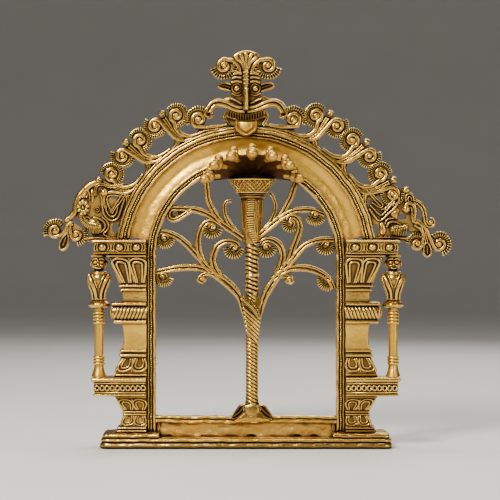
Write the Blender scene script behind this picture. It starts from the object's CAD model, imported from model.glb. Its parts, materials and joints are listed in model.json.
"""Looks of a cast brass prabhavali, built in wax-like strands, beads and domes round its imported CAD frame.

Every length in the geometry code is in millimetres in the frame's axes: X to the right, front towards -Y,
Z up. Flat drawings are pairs of X and Z, and a depth is a place along Y.
"""
from __future__ import annotations

import json
import logging
import math
from dataclasses import dataclass, field
from enum import Enum
from functools import cache
from typing import Callable, Iterable, Optional, Sequence, Union

import bmesh
import bpy
import numpy as np
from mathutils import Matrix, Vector
from mathutils.geometry import tessellate_polygon

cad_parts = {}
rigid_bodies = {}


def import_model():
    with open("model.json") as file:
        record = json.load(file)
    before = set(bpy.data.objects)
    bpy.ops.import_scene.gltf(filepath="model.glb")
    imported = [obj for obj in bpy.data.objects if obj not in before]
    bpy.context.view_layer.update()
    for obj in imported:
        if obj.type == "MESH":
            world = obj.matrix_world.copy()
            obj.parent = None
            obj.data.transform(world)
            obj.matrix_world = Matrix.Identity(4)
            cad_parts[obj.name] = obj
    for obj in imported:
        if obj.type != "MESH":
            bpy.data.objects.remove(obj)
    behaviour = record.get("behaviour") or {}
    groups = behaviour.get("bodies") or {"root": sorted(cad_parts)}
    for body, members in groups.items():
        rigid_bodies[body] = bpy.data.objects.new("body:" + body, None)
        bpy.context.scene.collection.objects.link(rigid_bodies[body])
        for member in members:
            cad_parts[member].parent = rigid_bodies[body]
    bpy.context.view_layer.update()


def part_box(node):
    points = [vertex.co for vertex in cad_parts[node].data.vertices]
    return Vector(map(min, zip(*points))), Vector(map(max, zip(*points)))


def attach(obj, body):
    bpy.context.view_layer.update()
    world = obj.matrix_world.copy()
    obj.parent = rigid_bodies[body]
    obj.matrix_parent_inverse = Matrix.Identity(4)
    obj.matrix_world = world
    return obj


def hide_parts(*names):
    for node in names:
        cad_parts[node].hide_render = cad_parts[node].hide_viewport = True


LOG = logging.getLogger("prabhavali")
MM = 0.001
ROOT = "root"
GROUND = "ground"
TINY = 1e-9
ROUNDING = 0.7
BOTH = (-1, 1)

Pair = tuple[float, float]
Point = tuple[float, float, float]
Colour = tuple[float, float, float]
Outline = Sequence[Pair]
Fringe = tuple[float, float, int]
Along = Union[float, np.ndarray]
Loops = Sequence[np.ndarray]
Ripple = Optional[Callable[[np.ndarray, float], np.ndarray]]
Term = Union["Socket", float]


class Side(Enum):
    """Which half of the arch a piece stands on."""

    LEFT = -1
    RIGHT = 1

    @property
    def suffix(self) -> str:
        """Ending of the CAD node names on this side."""
        return "left" if self is Side.LEFT else "right"

    def hand(self, wax: Wax) -> Wax:
        """A wax drawn for the right-hand side, as it stands on this side."""
        return wax if self is Side.RIGHT else wax.mirrored()


class Slot(Enum):
    """Material slots of the record."""

    ANTIQUE = "antique_brass"
    POLISHED = "polished_brass"
    DARK = "dark_brass"


# Curves


def resample(path: np.ndarray, step: float) -> np.ndarray:
    """Points along a polyline at even distances.

    Args:
        path: Points of the polyline, one row each.
        step: Wanted distance between points.

    Returns:
        The new points, with both ends kept.
    """
    legs = np.linalg.norm(np.diff(path, axis=0), axis=1)
    run = np.concatenate([[0.0], np.cumsum(legs)])
    count = max(2, int(math.ceil(run[-1] / step)) + 1)
    marks = np.linspace(0.0, run[-1], count)
    return np.stack([np.interp(marks, run, path[:, k]) for k in range(path.shape[1])], axis=1)


def smooth(points: Sequence[Sequence[float]], step: float = 0.8) -> np.ndarray:
    """A Catmull-Rom curve through points, resampled evenly.

    Args:
        points: Points that the curve passes through.
        step: Distance between the points of the result.

    Returns:
        Points of the curve.
    """
    p = np.asarray(points, float)
    p = np.vstack([2 * p[0] - p[1], p, 2 * p[-1] - p[-2]])
    t = np.linspace(0.0, 1.0, 14)[:-1, None]
    rows = []
    for a, b, c, d in zip(p[:-3], p[1:-2], p[2:-1], p[3:]):
        square, cube = 2 * a - 5 * b + 4 * c - d, 3 * b - a - 3 * c + d
        rows.append(0.5 * (2 * b + (c - a) * t + square * t**2 + cube * t**3))
    return resample(np.vstack(rows + [p[-2:-1]]), step)


def turn(eye: Pair, radius: float, degrees: float) -> Pair:
    """The point at a radius and an angle round an eye."""
    a = math.radians(degrees)
    return eye[0] + radius * math.cos(a), eye[1] + radius * math.sin(a)


def whorl(eye: Pair, r0: float, r1: float, start: float, turns: float) -> list[Pair]:
    """A spiral, with a point every 24 degrees or so.

    Args:
        eye: Middle of the spiral.
        r0: Radius at its start.
        r1: Radius at its end.
        start: Angle of its start in degrees.
        turns: Number of turns, positive anticlockwise.

    Returns:
        Points of the spiral.
    """
    count = max(4, int(abs(turns) * 15))
    shares = [i / count for i in range(count + 1)]
    return [turn(eye, r0 + (r1 - r0) * t, start + 360 * turns * t) for t in shares]


def heading(path: np.ndarray) -> np.ndarray:
    """Steps of length 1 along a path, at each of its points."""
    way = np.gradient(path, axis=0)
    return way / np.maximum(np.linalg.norm(way, axis=1, keepdims=True), TINY)


def leftward(path: np.ndarray) -> np.ndarray:
    """Steps of length 1 to the left of a flat path, at each of its points."""
    way = heading(path)
    return np.stack([-way[:, 1], way[:, 0]], axis=1)


def offset(path: np.ndarray, distance: float) -> np.ndarray:
    """A flat path moved sideways, to its left for a positive distance."""
    return path + leftward(path) * distance


def arc(centre: Pair, radius: float, start: float, stop: float, step: float = 0.9) -> np.ndarray:
    """Points of a circular arc between two angles in degrees."""
    count = max(3, int(abs(math.radians(stop - start)) * radius / step))
    return np.array([turn(centre, radius, a) for a in np.linspace(start, stop, count + 1)])


def around(count: int) -> np.ndarray:
    """Even angles round a circle in radians, each once."""
    return np.linspace(0, 2 * math.pi, count, endpoint=False)


def oval(centre: Pair, rx: float, rz: float, count: int) -> np.ndarray:
    """Points round an upright ellipse, each once."""
    a = around(count)
    return np.column_stack([centre[0] + rx * np.cos(a), centre[1] + rz * np.sin(a)])


def hoop(centre: Point, u: Point, v: Point, count: int) -> np.ndarray:
    """Points round an ellipse in space, from its centre and half axes, with the first again at the end."""
    a = np.linspace(0, 2 * math.pi, count)[:, None]
    return np.array(centre) + np.cos(a) * u + np.sin(a) * v


def halves(half: Outline, middle: Pair) -> list[Pair]:
    """An outline drawn by its right half: that half mirrored, a point between, and the half run back."""
    return [(-x, z) for x, z in half] + [middle] + list(half)[::-1]


def along(path: np.ndarray, marks: Sequence[float], values: Sequence[float]) -> np.ndarray:
    """Values at every point of a path, from a few at shares of its length."""
    return np.interp(np.linspace(0, 1, len(path)), marks, values)


def taper(path: np.ndarray, first: float, last: float) -> np.ndarray:
    """Values at every point of a path that change evenly from end to end."""
    return np.linspace(first, last, len(path))


def raised(flat: np.ndarray, z: float) -> np.ndarray:
    """Pairs of X and Y, set at a height."""
    return np.column_stack([flat, np.full(len(flat), z)])


# Wax


class Wax:
    """A mesh that grows by strands, beads, domes and turned pieces, as a wax model does."""

    def __init__(self) -> None:
        """Starts with no wax."""
        self._points: list[np.ndarray] = []
        self._faces: list[tuple[int, ...]] = []
        self._ground: list[np.ndarray] = []
        self._count = 0

    def add(self, points: np.ndarray, faces: Iterable[Sequence[int]], ground: Along = 0.0) -> None:
        """Adds points and the faces between them.

        Args:
            points: Rows of X, Y and Z.
            faces: Point numbers of each face, counted from the first of these points.
            ground: 1 for the ground behind the ornament, where tarnish stays, and 0 elsewhere.
        """
        base = self._count
        self._points.append(np.asarray(points, float))
        self._ground.append(np.broadcast_to(ground, len(points)))
        self._faces.extend(tuple(int(i) + base for i in f) for f in faces)
        self._count += len(points)

    def rings(self, rings: np.ndarray, round_ends: float = 0.0, ground: Along = 0.0) -> None:
        """Skins closed rings of points and closes both ends.

        Args:
            rings: Array of rings by points by X, Y and Z.
            round_ends: How far the middle of each end stands out.
            ground: How much each ring belongs to the tarnished ground.
        """
        n, m = rings.shape[:2]
        marks = np.repeat(np.broadcast_to(ground, n), m)
        poles = []
        for end, beside in ((0, min(1, n - 1)), (n - 1, max(n - 2, 0))):
            middle = rings[end].mean(0)
            way = middle - rings[beside].mean(0)
            poles.append(middle + round_ends * way / max(np.linalg.norm(way), TINY))
        faces: list[tuple[int, ...]] = []
        for a in range(0, (n - 1) * m, m):
            faces.extend((a + k, a + (k + 1) % m, a + m + (k + 1) % m, a + m + k) for k in range(m))
        top = (n - 1) * m
        faces.extend(((k + 1) % m, k, n * m) for k in range(m))
        faces.extend((top + k, top + (k + 1) % m, n * m + 1) for k in range(m))
        points = np.vstack([rings.reshape(-1, 3), poles])
        self.add(points, faces, np.append(marks, (marks[0], marks[-1])))

    def _strip(self, path: np.ndarray, wide: np.ndarray, deep: np.ndarray, round_ends: float = 0.0) -> None:
        """Skins sections that stand across a flat path.

        Args:
            path: Pairs of X and Z.
            wide: Sideways distance of each section's points, a row for each point of the path.
            deep: Depths of the same points.
            round_ends: How far the middle of each end stands out.
        """
        left = leftward(path)
        x = path[:, 0:1] + left[:, 0:1] * wide
        z = path[:, 1:2] + left[:, 1:2] * wide
        self.rings(np.stack([x, deep, z], axis=2), round_ends)

    def sweep(self, path: np.ndarray, section: np.ndarray, scale: Along = 1.0) -> None:
        """Draws a section of sideways distances, which are scaled, and depths along a flat path."""
        wide = np.broadcast_to(scale, len(path))[:, None] * section[None, :, 0]
        self._strip(path, wide, np.repeat(section[None, :, 1], len(path), axis=0))

    def strand(self, path: np.ndarray, width: Along, y: Along, depth: Optional[Along] = None,
               sides: int = 8) -> None:
        """Lays a rounded strand along a path in the plane of the arch.

        Args:
            path: Pairs of X and Z.
            width: Half width along the path.
            y: Depth of its middle line.
            depth: Half depth along the path, or the half width if left out.
            sides: Number of sides of the strand.
        """
        n, a = len(path), around(sides)
        w = np.broadcast_to(width, n).astype(float)
        d = w if depth is None else np.broadcast_to(depth, n).astype(float)
        deep = np.broadcast_to(y, n).astype(float)[:, None] + d[:, None] * np.sin(a)[None, :]
        self._strip(path, w[:, None] * np.cos(a)[None, :], deep, float(min(w[0], w[-1])) * 0.6)

    def tube(self, points: Sequence[Sequence[float]], radius: Along, sides: int = 7) -> None:
        """Lays a round strand along a path in space.

        Args:
            points: Rows of X, Y and Z.
            radius: Radius along the path.
            sides: Number of sides.
        """
        p = np.asarray(points, float)
        r = np.broadcast_to(radius, len(p)).astype(float)
        way, a = heading(p), around(sides)
        side = np.cross(way[0], (0.31, 0.17, 0.93))
        rings = np.zeros((len(p), sides, 3))
        for i, w in enumerate(way):
            side = side - w * side.dot(w)
            side /= max(np.linalg.norm(side), TINY)
            rings[i] = p[i] + r[i] * (np.outer(np.cos(a), side) + np.outer(np.sin(a), np.cross(w, side)))
        self.rings(rings, float(r[0]) * 0.6)

    def bead(self, x: float, y: float, z: float, size: Union[float, Point], segments: int = 10,
             rows: int = 6) -> None:
        """Sets a rounded bead.

        Args:
            x: Middle, to the right.
            y: Middle, in depth.
            z: Middle, upwards.
            size: Radius, or half sizes in X, Y and Z.
            segments: Points round the bead.
            rows: Bands from pole to pole.
        """
        sx, sy, sz = (size, size, size) if isinstance(size, (int, float)) else size
        lat, a = np.linspace(0, math.pi, rows + 1)[1:-1], around(segments)
        rings = np.stack([
            x + sx * np.outer(np.sin(lat), np.cos(a)),
            y + sy * np.repeat(-np.cos(lat)[:, None], segments, axis=1),
            z + sz * np.outer(np.sin(lat), np.sin(a))], axis=2)
        self.rings(rings, sy * (1 - math.cos(lat[0])))

    def lathe(self, profile: Outline, x: float, y: float, segments: int = 32, flat_y: float = 1.0,
              ripple: Ripple = None, ground: float = 0.0) -> None:
        """Turns a profile about an upright axis.

        Args:
            profile: Pairs of radius and height, from the bottom up.
            x: Axis, to the right.
            y: Axis, in depth.
            segments: Points round the axis.
            flat_y: Scale of the radius in depth.
            ripple: Factor on the radius from the angles and the share of the height.
            ground: How much it belongs to the tarnished ground.
        """
        a = around(segments)
        foot, top = profile[0][1], profile[-1][1]
        rows = []
        for r, z in profile:
            r = r * ripple(a, (z - foot) / max(top - foot, TINY)) if ripple else r
            flat = np.stack([x + r * np.cos(a), y + flat_y * r * np.sin(a)], axis=1)
            rows.append(raised(flat, z))
        self.rings(np.array(rows), ground=ground)

    def dome(self, outline: Outline, back: float, front: float, rise: float, rows: int = 5,
             centre: Optional[Pair] = None) -> None:
        """A plate with a flat back, a rounded rim and a domed face.

        Args:
            outline: Pairs of X and Z round the plate, seen whole from its centre.
            back: Depth of the flat back.
            front: Depth where the dome starts.
            rise: Height of the dome.
            rows: Rings of the dome.
            centre: Middle of the dome, or the mean of the outline.
        """
        p = np.asarray(outline, float)
        c = np.asarray(centre if centre is not None else p.mean(0), float)
        share = ROUNDING / float(np.linalg.norm(p - c, axis=1).mean())
        levels = [(1 - share, back), (1.0, back - ROUNDING), (1.0, front + ROUNDING),
                  (1 - 0.3 * share, front + 0.3 * ROUNDING)]
        for s in (1 - share) * (1 - np.arange(rows) / rows):
            levels.append((s, front - rise * (1 - s**2)))
        rings = [np.insert(c + (p - c) * s, 1, y, axis=1) for s, y in levels]
        self.rings(np.array(rings))

    def sheet(self, outline: np.ndarray, back: float, front: float, holes: Loops = ()) -> None:
        """A flat plate of any outline, pierced by holes, which counts as ground.

        Args:
            outline: Pairs of X and Z round the plate.
            back: Depth of the back.
            front: Depth of the face.
            holes: Outlines of the holes.
        """
        loops = [np.asarray(loop, float) for loop in (outline, *holes)]
        points = np.vstack(loops)
        n, first = len(points), 0
        cut = tessellate_polygon([[Vector((x, z, 0.0)) for x, z in loop] for loop in loops])
        faces: list[tuple[int, ...]] = [tuple(t) for t in cut]
        faces += [tuple(n + i for i in reversed(t)) for t in faces]
        for m in map(len, loops):
            edge = [(first + k, first + (k + 1) % m) for k in range(m)]
            faces.extend((a, b, n + b, n + a) for a, b in edge)
            first += m
        self.add(np.vstack([np.insert(points, 1, y, axis=1) for y in (front, back)]), faces, 1.0)

    def beads_along(self, path: np.ndarray, radius: float, y: float, pitch: float) -> None:
        """A row of beads along a path in the plane of the arch."""
        for x, z in resample(path, pitch):
            self.bead(x, y, z, (radius, radius * 0.9, radius), segments=8, rows=4)

    def ribbed(self, line: np.ndarray, half: np.ndarray, y: float, depth: np.ndarray) -> None:
        """A strand with a fine rib across it at every point of its line.

        Args:
            line: Pairs of X and Z, as far apart as the ribs.
            half: Half width along the line.
            y: Depth of its middle.
            depth: Half depth along the line.
        """
        self.strand(line, half, y, depth, sides=14)
        u = np.linspace(-0.92, 0.92, 7)
        for middle, left, h, d in list(zip(line, leftward(line), half, depth))[1:-1]:
            rib = middle + np.outer(u, left * h)
            self.strand(rib, 0.42, y - 0.05 - d * np.sqrt(1 - u * u), 0.5, sides=6)

    def mirrored(self) -> Wax:
        """A copy for the other side of the arch."""
        other = Wax()
        points = np.vstack(self._points) * (-1, 1, 1)
        other.add(points, [f[::-1] for f in self._faces], np.concatenate(self._ground))
        return other

    def turned(self, degrees: float, pivot_z: float) -> Wax:
        """A copy turned about a point on the middle line.

        Args:
            degrees: Angle, clockwise from the front.
            pivot_z: Height of the point.

        Returns:
            The copy.
        """
        other = Wax()
        x, y, z = np.vstack(self._points).T
        cos, sin = math.cos(math.radians(degrees)), math.sin(math.radians(degrees))
        z = z - pivot_z
        points = np.stack([x * cos + z * sin, y, pivot_z - x * sin + z * cos], axis=1)
        other.add(points, self._faces, np.concatenate(self._ground))
        return other

    def cast(self, name: str, wobble: float) -> bpy.types.Object:
        """Makes the Blender object, with the slight unevenness of a hand-made wax.

        Args:
            name: Name of the object.
            wobble: Largest shift of a point.

        Returns:
            The new object, in metres.
        """
        p = np.vstack(self._points)
        shift = np.zeros_like(p)
        slant = np.array([[1.0, 0.31, -0.22], [0.27, 1.0, 0.36], [-0.19, 0.24, 1.0]])
        for axis in range(3):
            for wave, share in ((17.0, 0.6), (7.3, 0.4)):
                q = p @ slant * (2 * math.pi / wave)
                swing = np.sin(q[:, (axis + 1) % 3] + 1.7 * axis) * np.cos(q[:, (axis + 2) % 3] + 0.6)
                shift[:, axis] += share * swing
        mesh = bpy.data.meshes.new(name)
        mesh.from_pydata(((p + wobble * shift) * MM).tolist(), [], self._faces)
        fair = bmesh.new()
        fair.from_mesh(mesh)
        bmesh.ops.recalc_face_normals(fair, faces=fair.faces)
        fair.to_mesh(mesh)
        fair.free()
        mesh.polygons.foreach_set("use_smooth", np.ones(len(mesh.polygons), bool))
        mesh.set_sharp_from_angle(angle=math.radians(58))
        marks = mesh.attributes.new(GROUND, "FLOAT", "POINT")
        marks.data.foreach_set("value", np.concatenate(self._ground).astype(np.float32))
        obj = bpy.data.objects.new(name, mesh)
        bpy.context.scene.collection.objects.link(obj)
        return obj


@dataclass(frozen=True)
class Volute:
    """A stem that winds into a volute, drawn from a relief's origin.

    Angles are in degrees and turns are positive anticlockwise. The fringe has a first angle, a last angle
    and a number of ridges. The width is the whole width of the ribbon, and the reach is the fringe's length.
    """

    stem: Outline
    eye: Pair
    radius: float
    start: float
    turns: float
    fringe: Fringe
    width: float
    reach: float = 2.8


class Relief(Wax):
    """Wax for scrolls in the plane of the arch, drawn from an origin, between a front and a back.

    In its methods a sink is a distance behind the front, a cut is one before the back, and side -1 turns a
    drawing over to the left of the origin.
    """

    def __init__(self, origin: Pair, front: float = -4.2, back: float = 3.2) -> None:
        """Starts with no wax, with the place of the origin and the depths of the front and the back."""
        super().__init__()
        self.origin, self.front, self.back = origin, front, back

    def place(self, point: Pair, side: int = 1) -> Pair:
        """A point given from the origin."""
        return self.origin[0] + side * point[0], self.origin[1] + point[1]

    def line(self, points: Outline, step: float = 0.8, side: int = 1) -> np.ndarray:
        """A smooth line through points given from the origin."""
        return smooth([self.place(p, side) for p in points], step)

    def loop(self, points: Outline, step: float = 0.8, side: int = 1) -> np.ndarray:
        """A smooth closed outline through points given from the origin."""
        return self.line((*points, points[0]), step, side)[:-1]

    def thread(self, line: np.ndarray, width: Along, sink: float, depth: Along, sides: int = 8) -> None:
        """A strand with its middle behind the front."""
        self.strand(line, width, self.front + sink, depth, sides)

    def boss(self, eye: Pair, sink: float, size: Point, segments: int = 16, rows: int = 10) -> None:
        """A bead with its middle behind the front."""
        self.bead(eye[0], self.front + sink, eye[1], size, segments, rows)

    def pad(self, outline: Outline, sink: float, rise: float, rows: int = 5, centre: Optional[Pair] = None,
            cut: float = 0.0) -> None:
        """A domed plate between the front and the back."""
        self.dome(outline, self.back - cut, self.front + sink, rise, rows, centre)

    def web(self, outline: np.ndarray, sink: float, cut: float, holes: Loops = ()) -> None:
        """A flat plate between the front and the back."""
        self.sheet(outline, self.back - cut, self.front + sink, holes)

    def ribbon(self, path: np.ndarray, width: Along, grooves: int = 0, sink: float = 0.0,
               cut: float = 0.0) -> None:
        """A flat-sided ribbon with a rounded face, or with grooves between rounded threads.

        Args:
            path: Pairs of X and Z.
            width: Whole width along the path.
            grooves: Number of grooves along its face.
            sink: Distance of its face behind the front.
            cut: Distance of its rear before the back.
        """
        front, back = self.front + sink, self.back - cut
        thread = ((-0.47, 1.2), (-0.38, 0.45), (-0.2, 0.08), (0, 0), (0.2, 0.08), (0.38, 0.45), (0.47, 1.2))
        share = 2.0 / (grooves + 1)
        section = [(-0.88, back), (-1.0, back - 0.7), (-1.0, front + 1.4)]
        for i in range(grooves + 1):
            section += [(share * (i + 0.5 + u) - 1, front + v) for u, v in thread]
        section += [(1.0, front + 1.4), (1.0, back - 0.7), (0.88, back)]
        self.sweep(path, np.array(section), np.broadcast_to(width, len(path)) / 2)

    def volute(self, drawn: Volute, side: int = 1) -> None:
        """A volute with a domed eye, a rail beside its stem and a fringe.

        Args:
            drawn: Its drawing.
            side: -1 puts the stem and the eye on the left; the angles and turns stay as given.
        """
        stem, eye = [self.place(p, side) for p in drawn.stem], self.place(drawn.eye, side)
        r, width = drawn.radius, drawn.width
        path = smooth(stem + whorl(eye, r, r * 0.28, drawn.start, drawn.turns), 0.7)
        self.ribbon(path, width * along(path, (0, 0.2, 0.55, 1), (0.75, 0.95, 1.0, 0.72)))
        outside = -1 if drawn.turns > 0 else 1
        self.ribbon(offset(smooth(stem), outside * (width * 0.5 + 0.75)), 1.25, sink=0.5)
        self.pad(arc(eye, r * 0.95, 0, 342, 1.2), 1.8, 0.2, 3, eye)
        self.boss(eye, 0.9, (r * 0.4, 1.5, r * 0.4), 14, 8)
        rim = r + width * 0.42
        self.comb(eye, (rim, rim + drawn.reach), drawn.fringe, 2.8)

    def comb(self, eye: Pair, radii: Pair, fringe: Fringe, thick: float) -> None:
        """A fringe of ridges that spread from an eye, on a lobe that backs them for most of their length.

        Args:
            eye: Point that the ridges run from.
            radii: Where the ridges start and end.
            fringe: First angle, last angle and number of ridges.
            thick: Thickness of the band behind the ridges.
        """
        (r0, r1), (start, stop, count), y = radii, fringe, self.front + 1.2
        first, last = min(start, stop) - 5, max(start, stop) + 5
        rim, root = (arc(eye, r, first, last) for r in (r0 + 0.72 * (r1 - r0), r0 - 1.0))
        self.sheet(np.vstack([rim, root[::-1]]), self.back - 0.5, y + 0.5)
        pitch = math.radians(abs(stop - start)) / max(count - 1, 1)
        spread = r0 + np.array([0.0, 0.3, 0.5, 0.8, 1.0]) * (r1 - r0)
        for a in np.linspace(start, stop, count):
            ridge = np.array([turn(eye, r, a) for r in np.linspace(r0, r1, 5)])
            width = np.clip(spread * pitch * 0.36, 0.28, 0.8)
            self.strand(ridge, width, y, np.array([0.8, 1.0, 1.0, 0.9, 0.6]), sides=6)
        band = arc(eye, (r0 * 0.6 + r1 * 0.9) / 2, start, stop, 0.8)
        self.strand(band, (r1 * 0.9 - r0 * 0.6) / 2, y + 0.3 + thick / 2, thick / 2)

    def bud(self, point: Pair) -> None:
        """A round bud with lines on it.

        Args:
            point: Its middle, from the origin.
        """
        x, z = point
        self.boss(self.place(point), 1.8, (2.7, 3.0, 2.6))
        for dx in (-1.2, 0.2, 1.5):
            line = self.line(((x + dx * 0.6, z - 2.4), (x + dx, z - 0.4), (x + dx * 0.7, z + 1.5)), 0.6)
            self.thread(line, 0.42, -0.7 + 0.28 * dx * dx, 0.6, sides=6)

    def drop(self, top: Pair, tip: Pair, width: float) -> None:
        """A hanging petal with a groove inside its rim.

        Args:
            top: Upper end, from the origin.
            tip: Lower end, from the origin.
            width: Half width.
        """
        a, b = np.array(self.place(top)), np.array(self.place(tip))
        way = b - a
        left = np.array([-way[1], way[0]]) * width / np.linalg.norm(way)
        swell = ((0, 0.15), (0.25, 0.75), (0.6, 1.0), (0.88, 0.7))
        near, far = ([a + way * t + s * left * w for t, w in swell] for s in (1, -1))
        rim = smooth(near + [b] + far[::-1], 0.7)
        self.pad(rim, 2.2, 0.1, 3, cut=1.0)
        self.ribbon(rim, 1.5, sink=0.4, cut=1.2)
        self.ribbon(smooth([a + way * t for t in (0.25, 0.5, 0.75)], 0.7), 1.2, sink=1.0, cut=1.2)


# Finishes


class Socket:
    """A shader socket with arithmetic."""

    def __init__(self, graph: Graph, output: Optional[bpy.types.NodeSocket]) -> None:
        """Wraps an output socket of a graph, or nothing for a node without outputs."""
        self.graph = graph
        self.output = output

    def _math(self, operation: str, a: Term, b: Term) -> Socket:
        """A Math node on two values."""
        return self.graph.node("ShaderNodeMath", {"operation": operation}, {0: a, 1: b})

    def __add__(self, other: Term) -> Socket:
        """Sum."""
        return self._math("ADD", self, other)

    __radd__ = __add__

    def __sub__(self, other: Term) -> Socket:
        """Difference."""
        return self._math("SUBTRACT", self, other)

    def __rsub__(self, other: float) -> Socket:
        """Difference from a number."""
        return self._math("SUBTRACT", other, self)

    def __mul__(self, other: Term) -> Socket:
        """Product."""
        return self._math("MULTIPLY", self, other)

    __rmul__ = __mul__

    def __pow__(self, other: float) -> Socket:
        """Power."""
        return self._math("POWER", self, other)

    def clamped(self) -> Socket:
        """Limited to 0 to 1."""
        return self.graph.node("ShaderNodeClamp", {}, {"Value": self})

    def mix(self, a: Union[Socket, Colour], b: Union[Socket, Colour]) -> Socket:
        """A colour between a and b, by this factor."""
        return self.graph.node("ShaderNodeMix", {"data_type": "RGBA", "clamp_factor": True},
                               {"Factor": self, 6: a, 7: b}, output=2)


class Graph:
    """The node tree of one material."""

    def __init__(self, material: bpy.types.Material) -> None:
        """Empties a material's tree.

        Args:
            material: The material.
        """
        material.use_nodes = True
        self.tree = material.node_tree
        self.tree.nodes.clear()

    def node(self, kind: str, settings: dict, inputs: dict, output: Union[int, str] = 0) -> Socket:
        """Adds a node.

        Args:
            kind: Type name of the node.
            settings: Attributes to set on it.
            inputs: Values or sockets by input name or number.
            output: Name or number of the output to return.

        Returns:
            The output, wrapped.
        """
        made = self.tree.nodes.new(kind)
        for key, value in settings.items():
            setattr(made, key, value)
        for key, value in inputs.items():
            target = made.inputs[key]
            if isinstance(value, Socket):
                self.tree.links.new(value.output, target)
            elif isinstance(value, tuple) and target.type == "RGBA":
                target.default_value = (*value, 1.0)
            else:
                target.default_value = value
        return Socket(self, made.outputs[output] if made.outputs else None)

    def noise(self, place: Socket, scale: float, detail: float, rough: float = 0.5) -> Socket:
        """A noise texture over a place."""
        values = {"Vector": place, "Scale": scale, "Detail": detail, "Roughness": rough}
        return self.node("ShaderNodeTexNoise", {}, values)


@dataclass(frozen=True)
class BrassFinish:
    """Old brass: rubbed bright where it stands out, brown between and nearly black in the recesses."""

    name: str
    slot: Slot
    bright: Colour
    body: Colour
    dark: Colour
    recess: float
    depth: float
    smooth: float
    rough: float
    grain: float
    blotch: float = 0.5
    tarnish: Colour = (0.09, 0.036, 0.011)
    reddening: Colour = (0.95, 0.72, 0.55)

    def material(self) -> bpy.types.Material:
        """Builds the material.

        Returns:
            A node material with patina, tarnish, grain and pits.
        """
        made = bpy.data.materials.new(self.name)
        g = Graph(made)
        place = g.node("ShaderNodeTexCoord", {}, {}, output="Object")
        tone = g.noise(place, 70.0, 4.0, 0.6)
        patch = g.noise(place, 22.0, 2.0)
        speck = g.noise(place, 900.0, 3.0, 0.65)
        pits = g.node("ShaderNodeTexVoronoi", {"feature": "F1"}, {"Vector": place, "Scale": 420.0})
        near = {"Distance": self.recess * MM}
        shade = g.node("ShaderNodeAmbientOcclusion", {"samples": 8}, near, output="AO")
        sharp = g.node("ShaderNodeNewGeometry", {}, {}, output="Pointiness")
        normal = g.node("ShaderNodeNewGeometry", {}, {}, output="Normal")
        facing = g.node("ShaderNodeSeparateXYZ", {}, {0: normal}, output="Y")
        lay = {"Vector": place, "Rotation": (0.0, 0.4, 0.0), "Scale": (170.0, 170.0, 620.0)}
        filed = g.noise(g.node("ShaderNodeMapping", {}, lay), 1.0, 3.0, 0.7)
        ground = g.node("ShaderNodeAttribute", {"attribute_name": GROUND}, {}, output="Fac")
        rear = ((facing - 0.7) * 5.0).clamped()
        spread = 0.8 + (patch - 0.5) * 2.0 + (tone - 0.5) * 1.0 + (filed - 0.5) * 0.3
        grime = ((rear + ground * (1.0 - rear) * 0.85) * spread).clamped()
        hollow = ((0.92 - shade) * (2.1 * self.depth) + (tone - 0.5) * (0.5 * self.blotch)).clamped()
        worn = ((sharp - 0.5) * 7.0 + (shade - 0.68) * 1.1 + (speck - 0.5) * 0.35).clamped()
        warm = ((patch - 0.5) * (1.5 * self.blotch)).clamped()
        red = tuple(c * share for c, share in zip(self.body, self.reddening))
        skin = (grime * 0.85).mix(warm.mix(worn.mix(self.body, self.bright), red), self.tarnish)
        colour = (hollow ** 0.8).mix(skin, self.dark)
        worked = hollow * (self.rough - self.smooth)
        matt = (self.smooth + worked + grime * 0.2 + (speck - 0.5) * 0.2 + (tone - 0.5) * 0.14).clamped()
        height = speck * 0.5 + tone * 0.6 + (pits * 1.5).clamped() * 0.35 + rear * (filed + tone * 1.5)
        bump = g.node("ShaderNodeBump", {}, {"Strength": self.grain, "Distance": 0.00035, "Height": height})
        shader = g.node("ShaderNodeBsdfPrincipled", {}, {
            "Base Color": colour, "Roughness": matt, "Metallic": 1.0 - hollow * 0.55, "Normal": bump,
            "Specular IOR Level": 0.4})
        g.node("ShaderNodeOutputMaterial", {}, {"Surface": shader})
        return made


ANTIQUE = BrassFinish(
    "antique_brass", Slot.ANTIQUE, (0.96, 0.61, 0.13), (0.36, 0.17, 0.03), (0.012, 0.005, 0.002),
    recess=3.6, depth=1.5, smooth=0.25, rough=0.6, grain=0.38)
POLISHED = BrassFinish(
    "polished_band_brass", Slot.POLISHED, (0.96, 0.62, 0.1), (0.8, 0.46, 0.06), (0.16, 0.065, 0.014),
    recess=7.0, depth=0.8, smooth=0.36, rough=0.58, grain=0.5, blotch=0.9)
ROUGH = BrassFinish(
    "rough_panel_brass", Slot.DARK, (0.86, 0.55, 0.12), (0.55, 0.32, 0.065), (0.02, 0.009, 0.004),
    recess=2.6, depth=1.2, smooth=0.4, rough=0.75, grain=0.7, blotch=0.6)
DULLED = BrassFinish(
    "dull_head_brass", Slot.ANTIQUE, (0.84, 0.52, 0.1), (0.27, 0.13, 0.024), (0.012, 0.005, 0.002),
    recess=3.0, depth=1.5, smooth=0.42, rough=0.7, grain=0.5)
SHADED = BrassFinish(
    "dark_hood_brass", Slot.DARK, (0.16, 0.075, 0.024), (0.05, 0.022, 0.008), (0.008, 0.0035, 0.0015),
    recess=7.0, depth=1.0, smooth=0.45, rough=0.75, grain=0.3, blotch=0.6)


@dataclass
class Cast:
    """One cast piece: its name, the CAD node that it stands for, its wax and its finish."""

    name: str
    node: str
    wax: Wax
    finish: BrassFinish = ANTIQUE
    wobble: float = 0.16


# Places from the frame


@cache
def low(node: str) -> Vector:
    """Lowest corner of a CAD node in millimetres."""
    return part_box(node)[0] / MM


@cache
def high(node: str) -> Vector:
    """Highest corner of a CAD node in millimetres."""
    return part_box(node)[1] / MM


def half_width(node: str) -> float:
    """Half of a CAD node's size along X."""
    return (high(node).x - low(node).x) / 2


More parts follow.
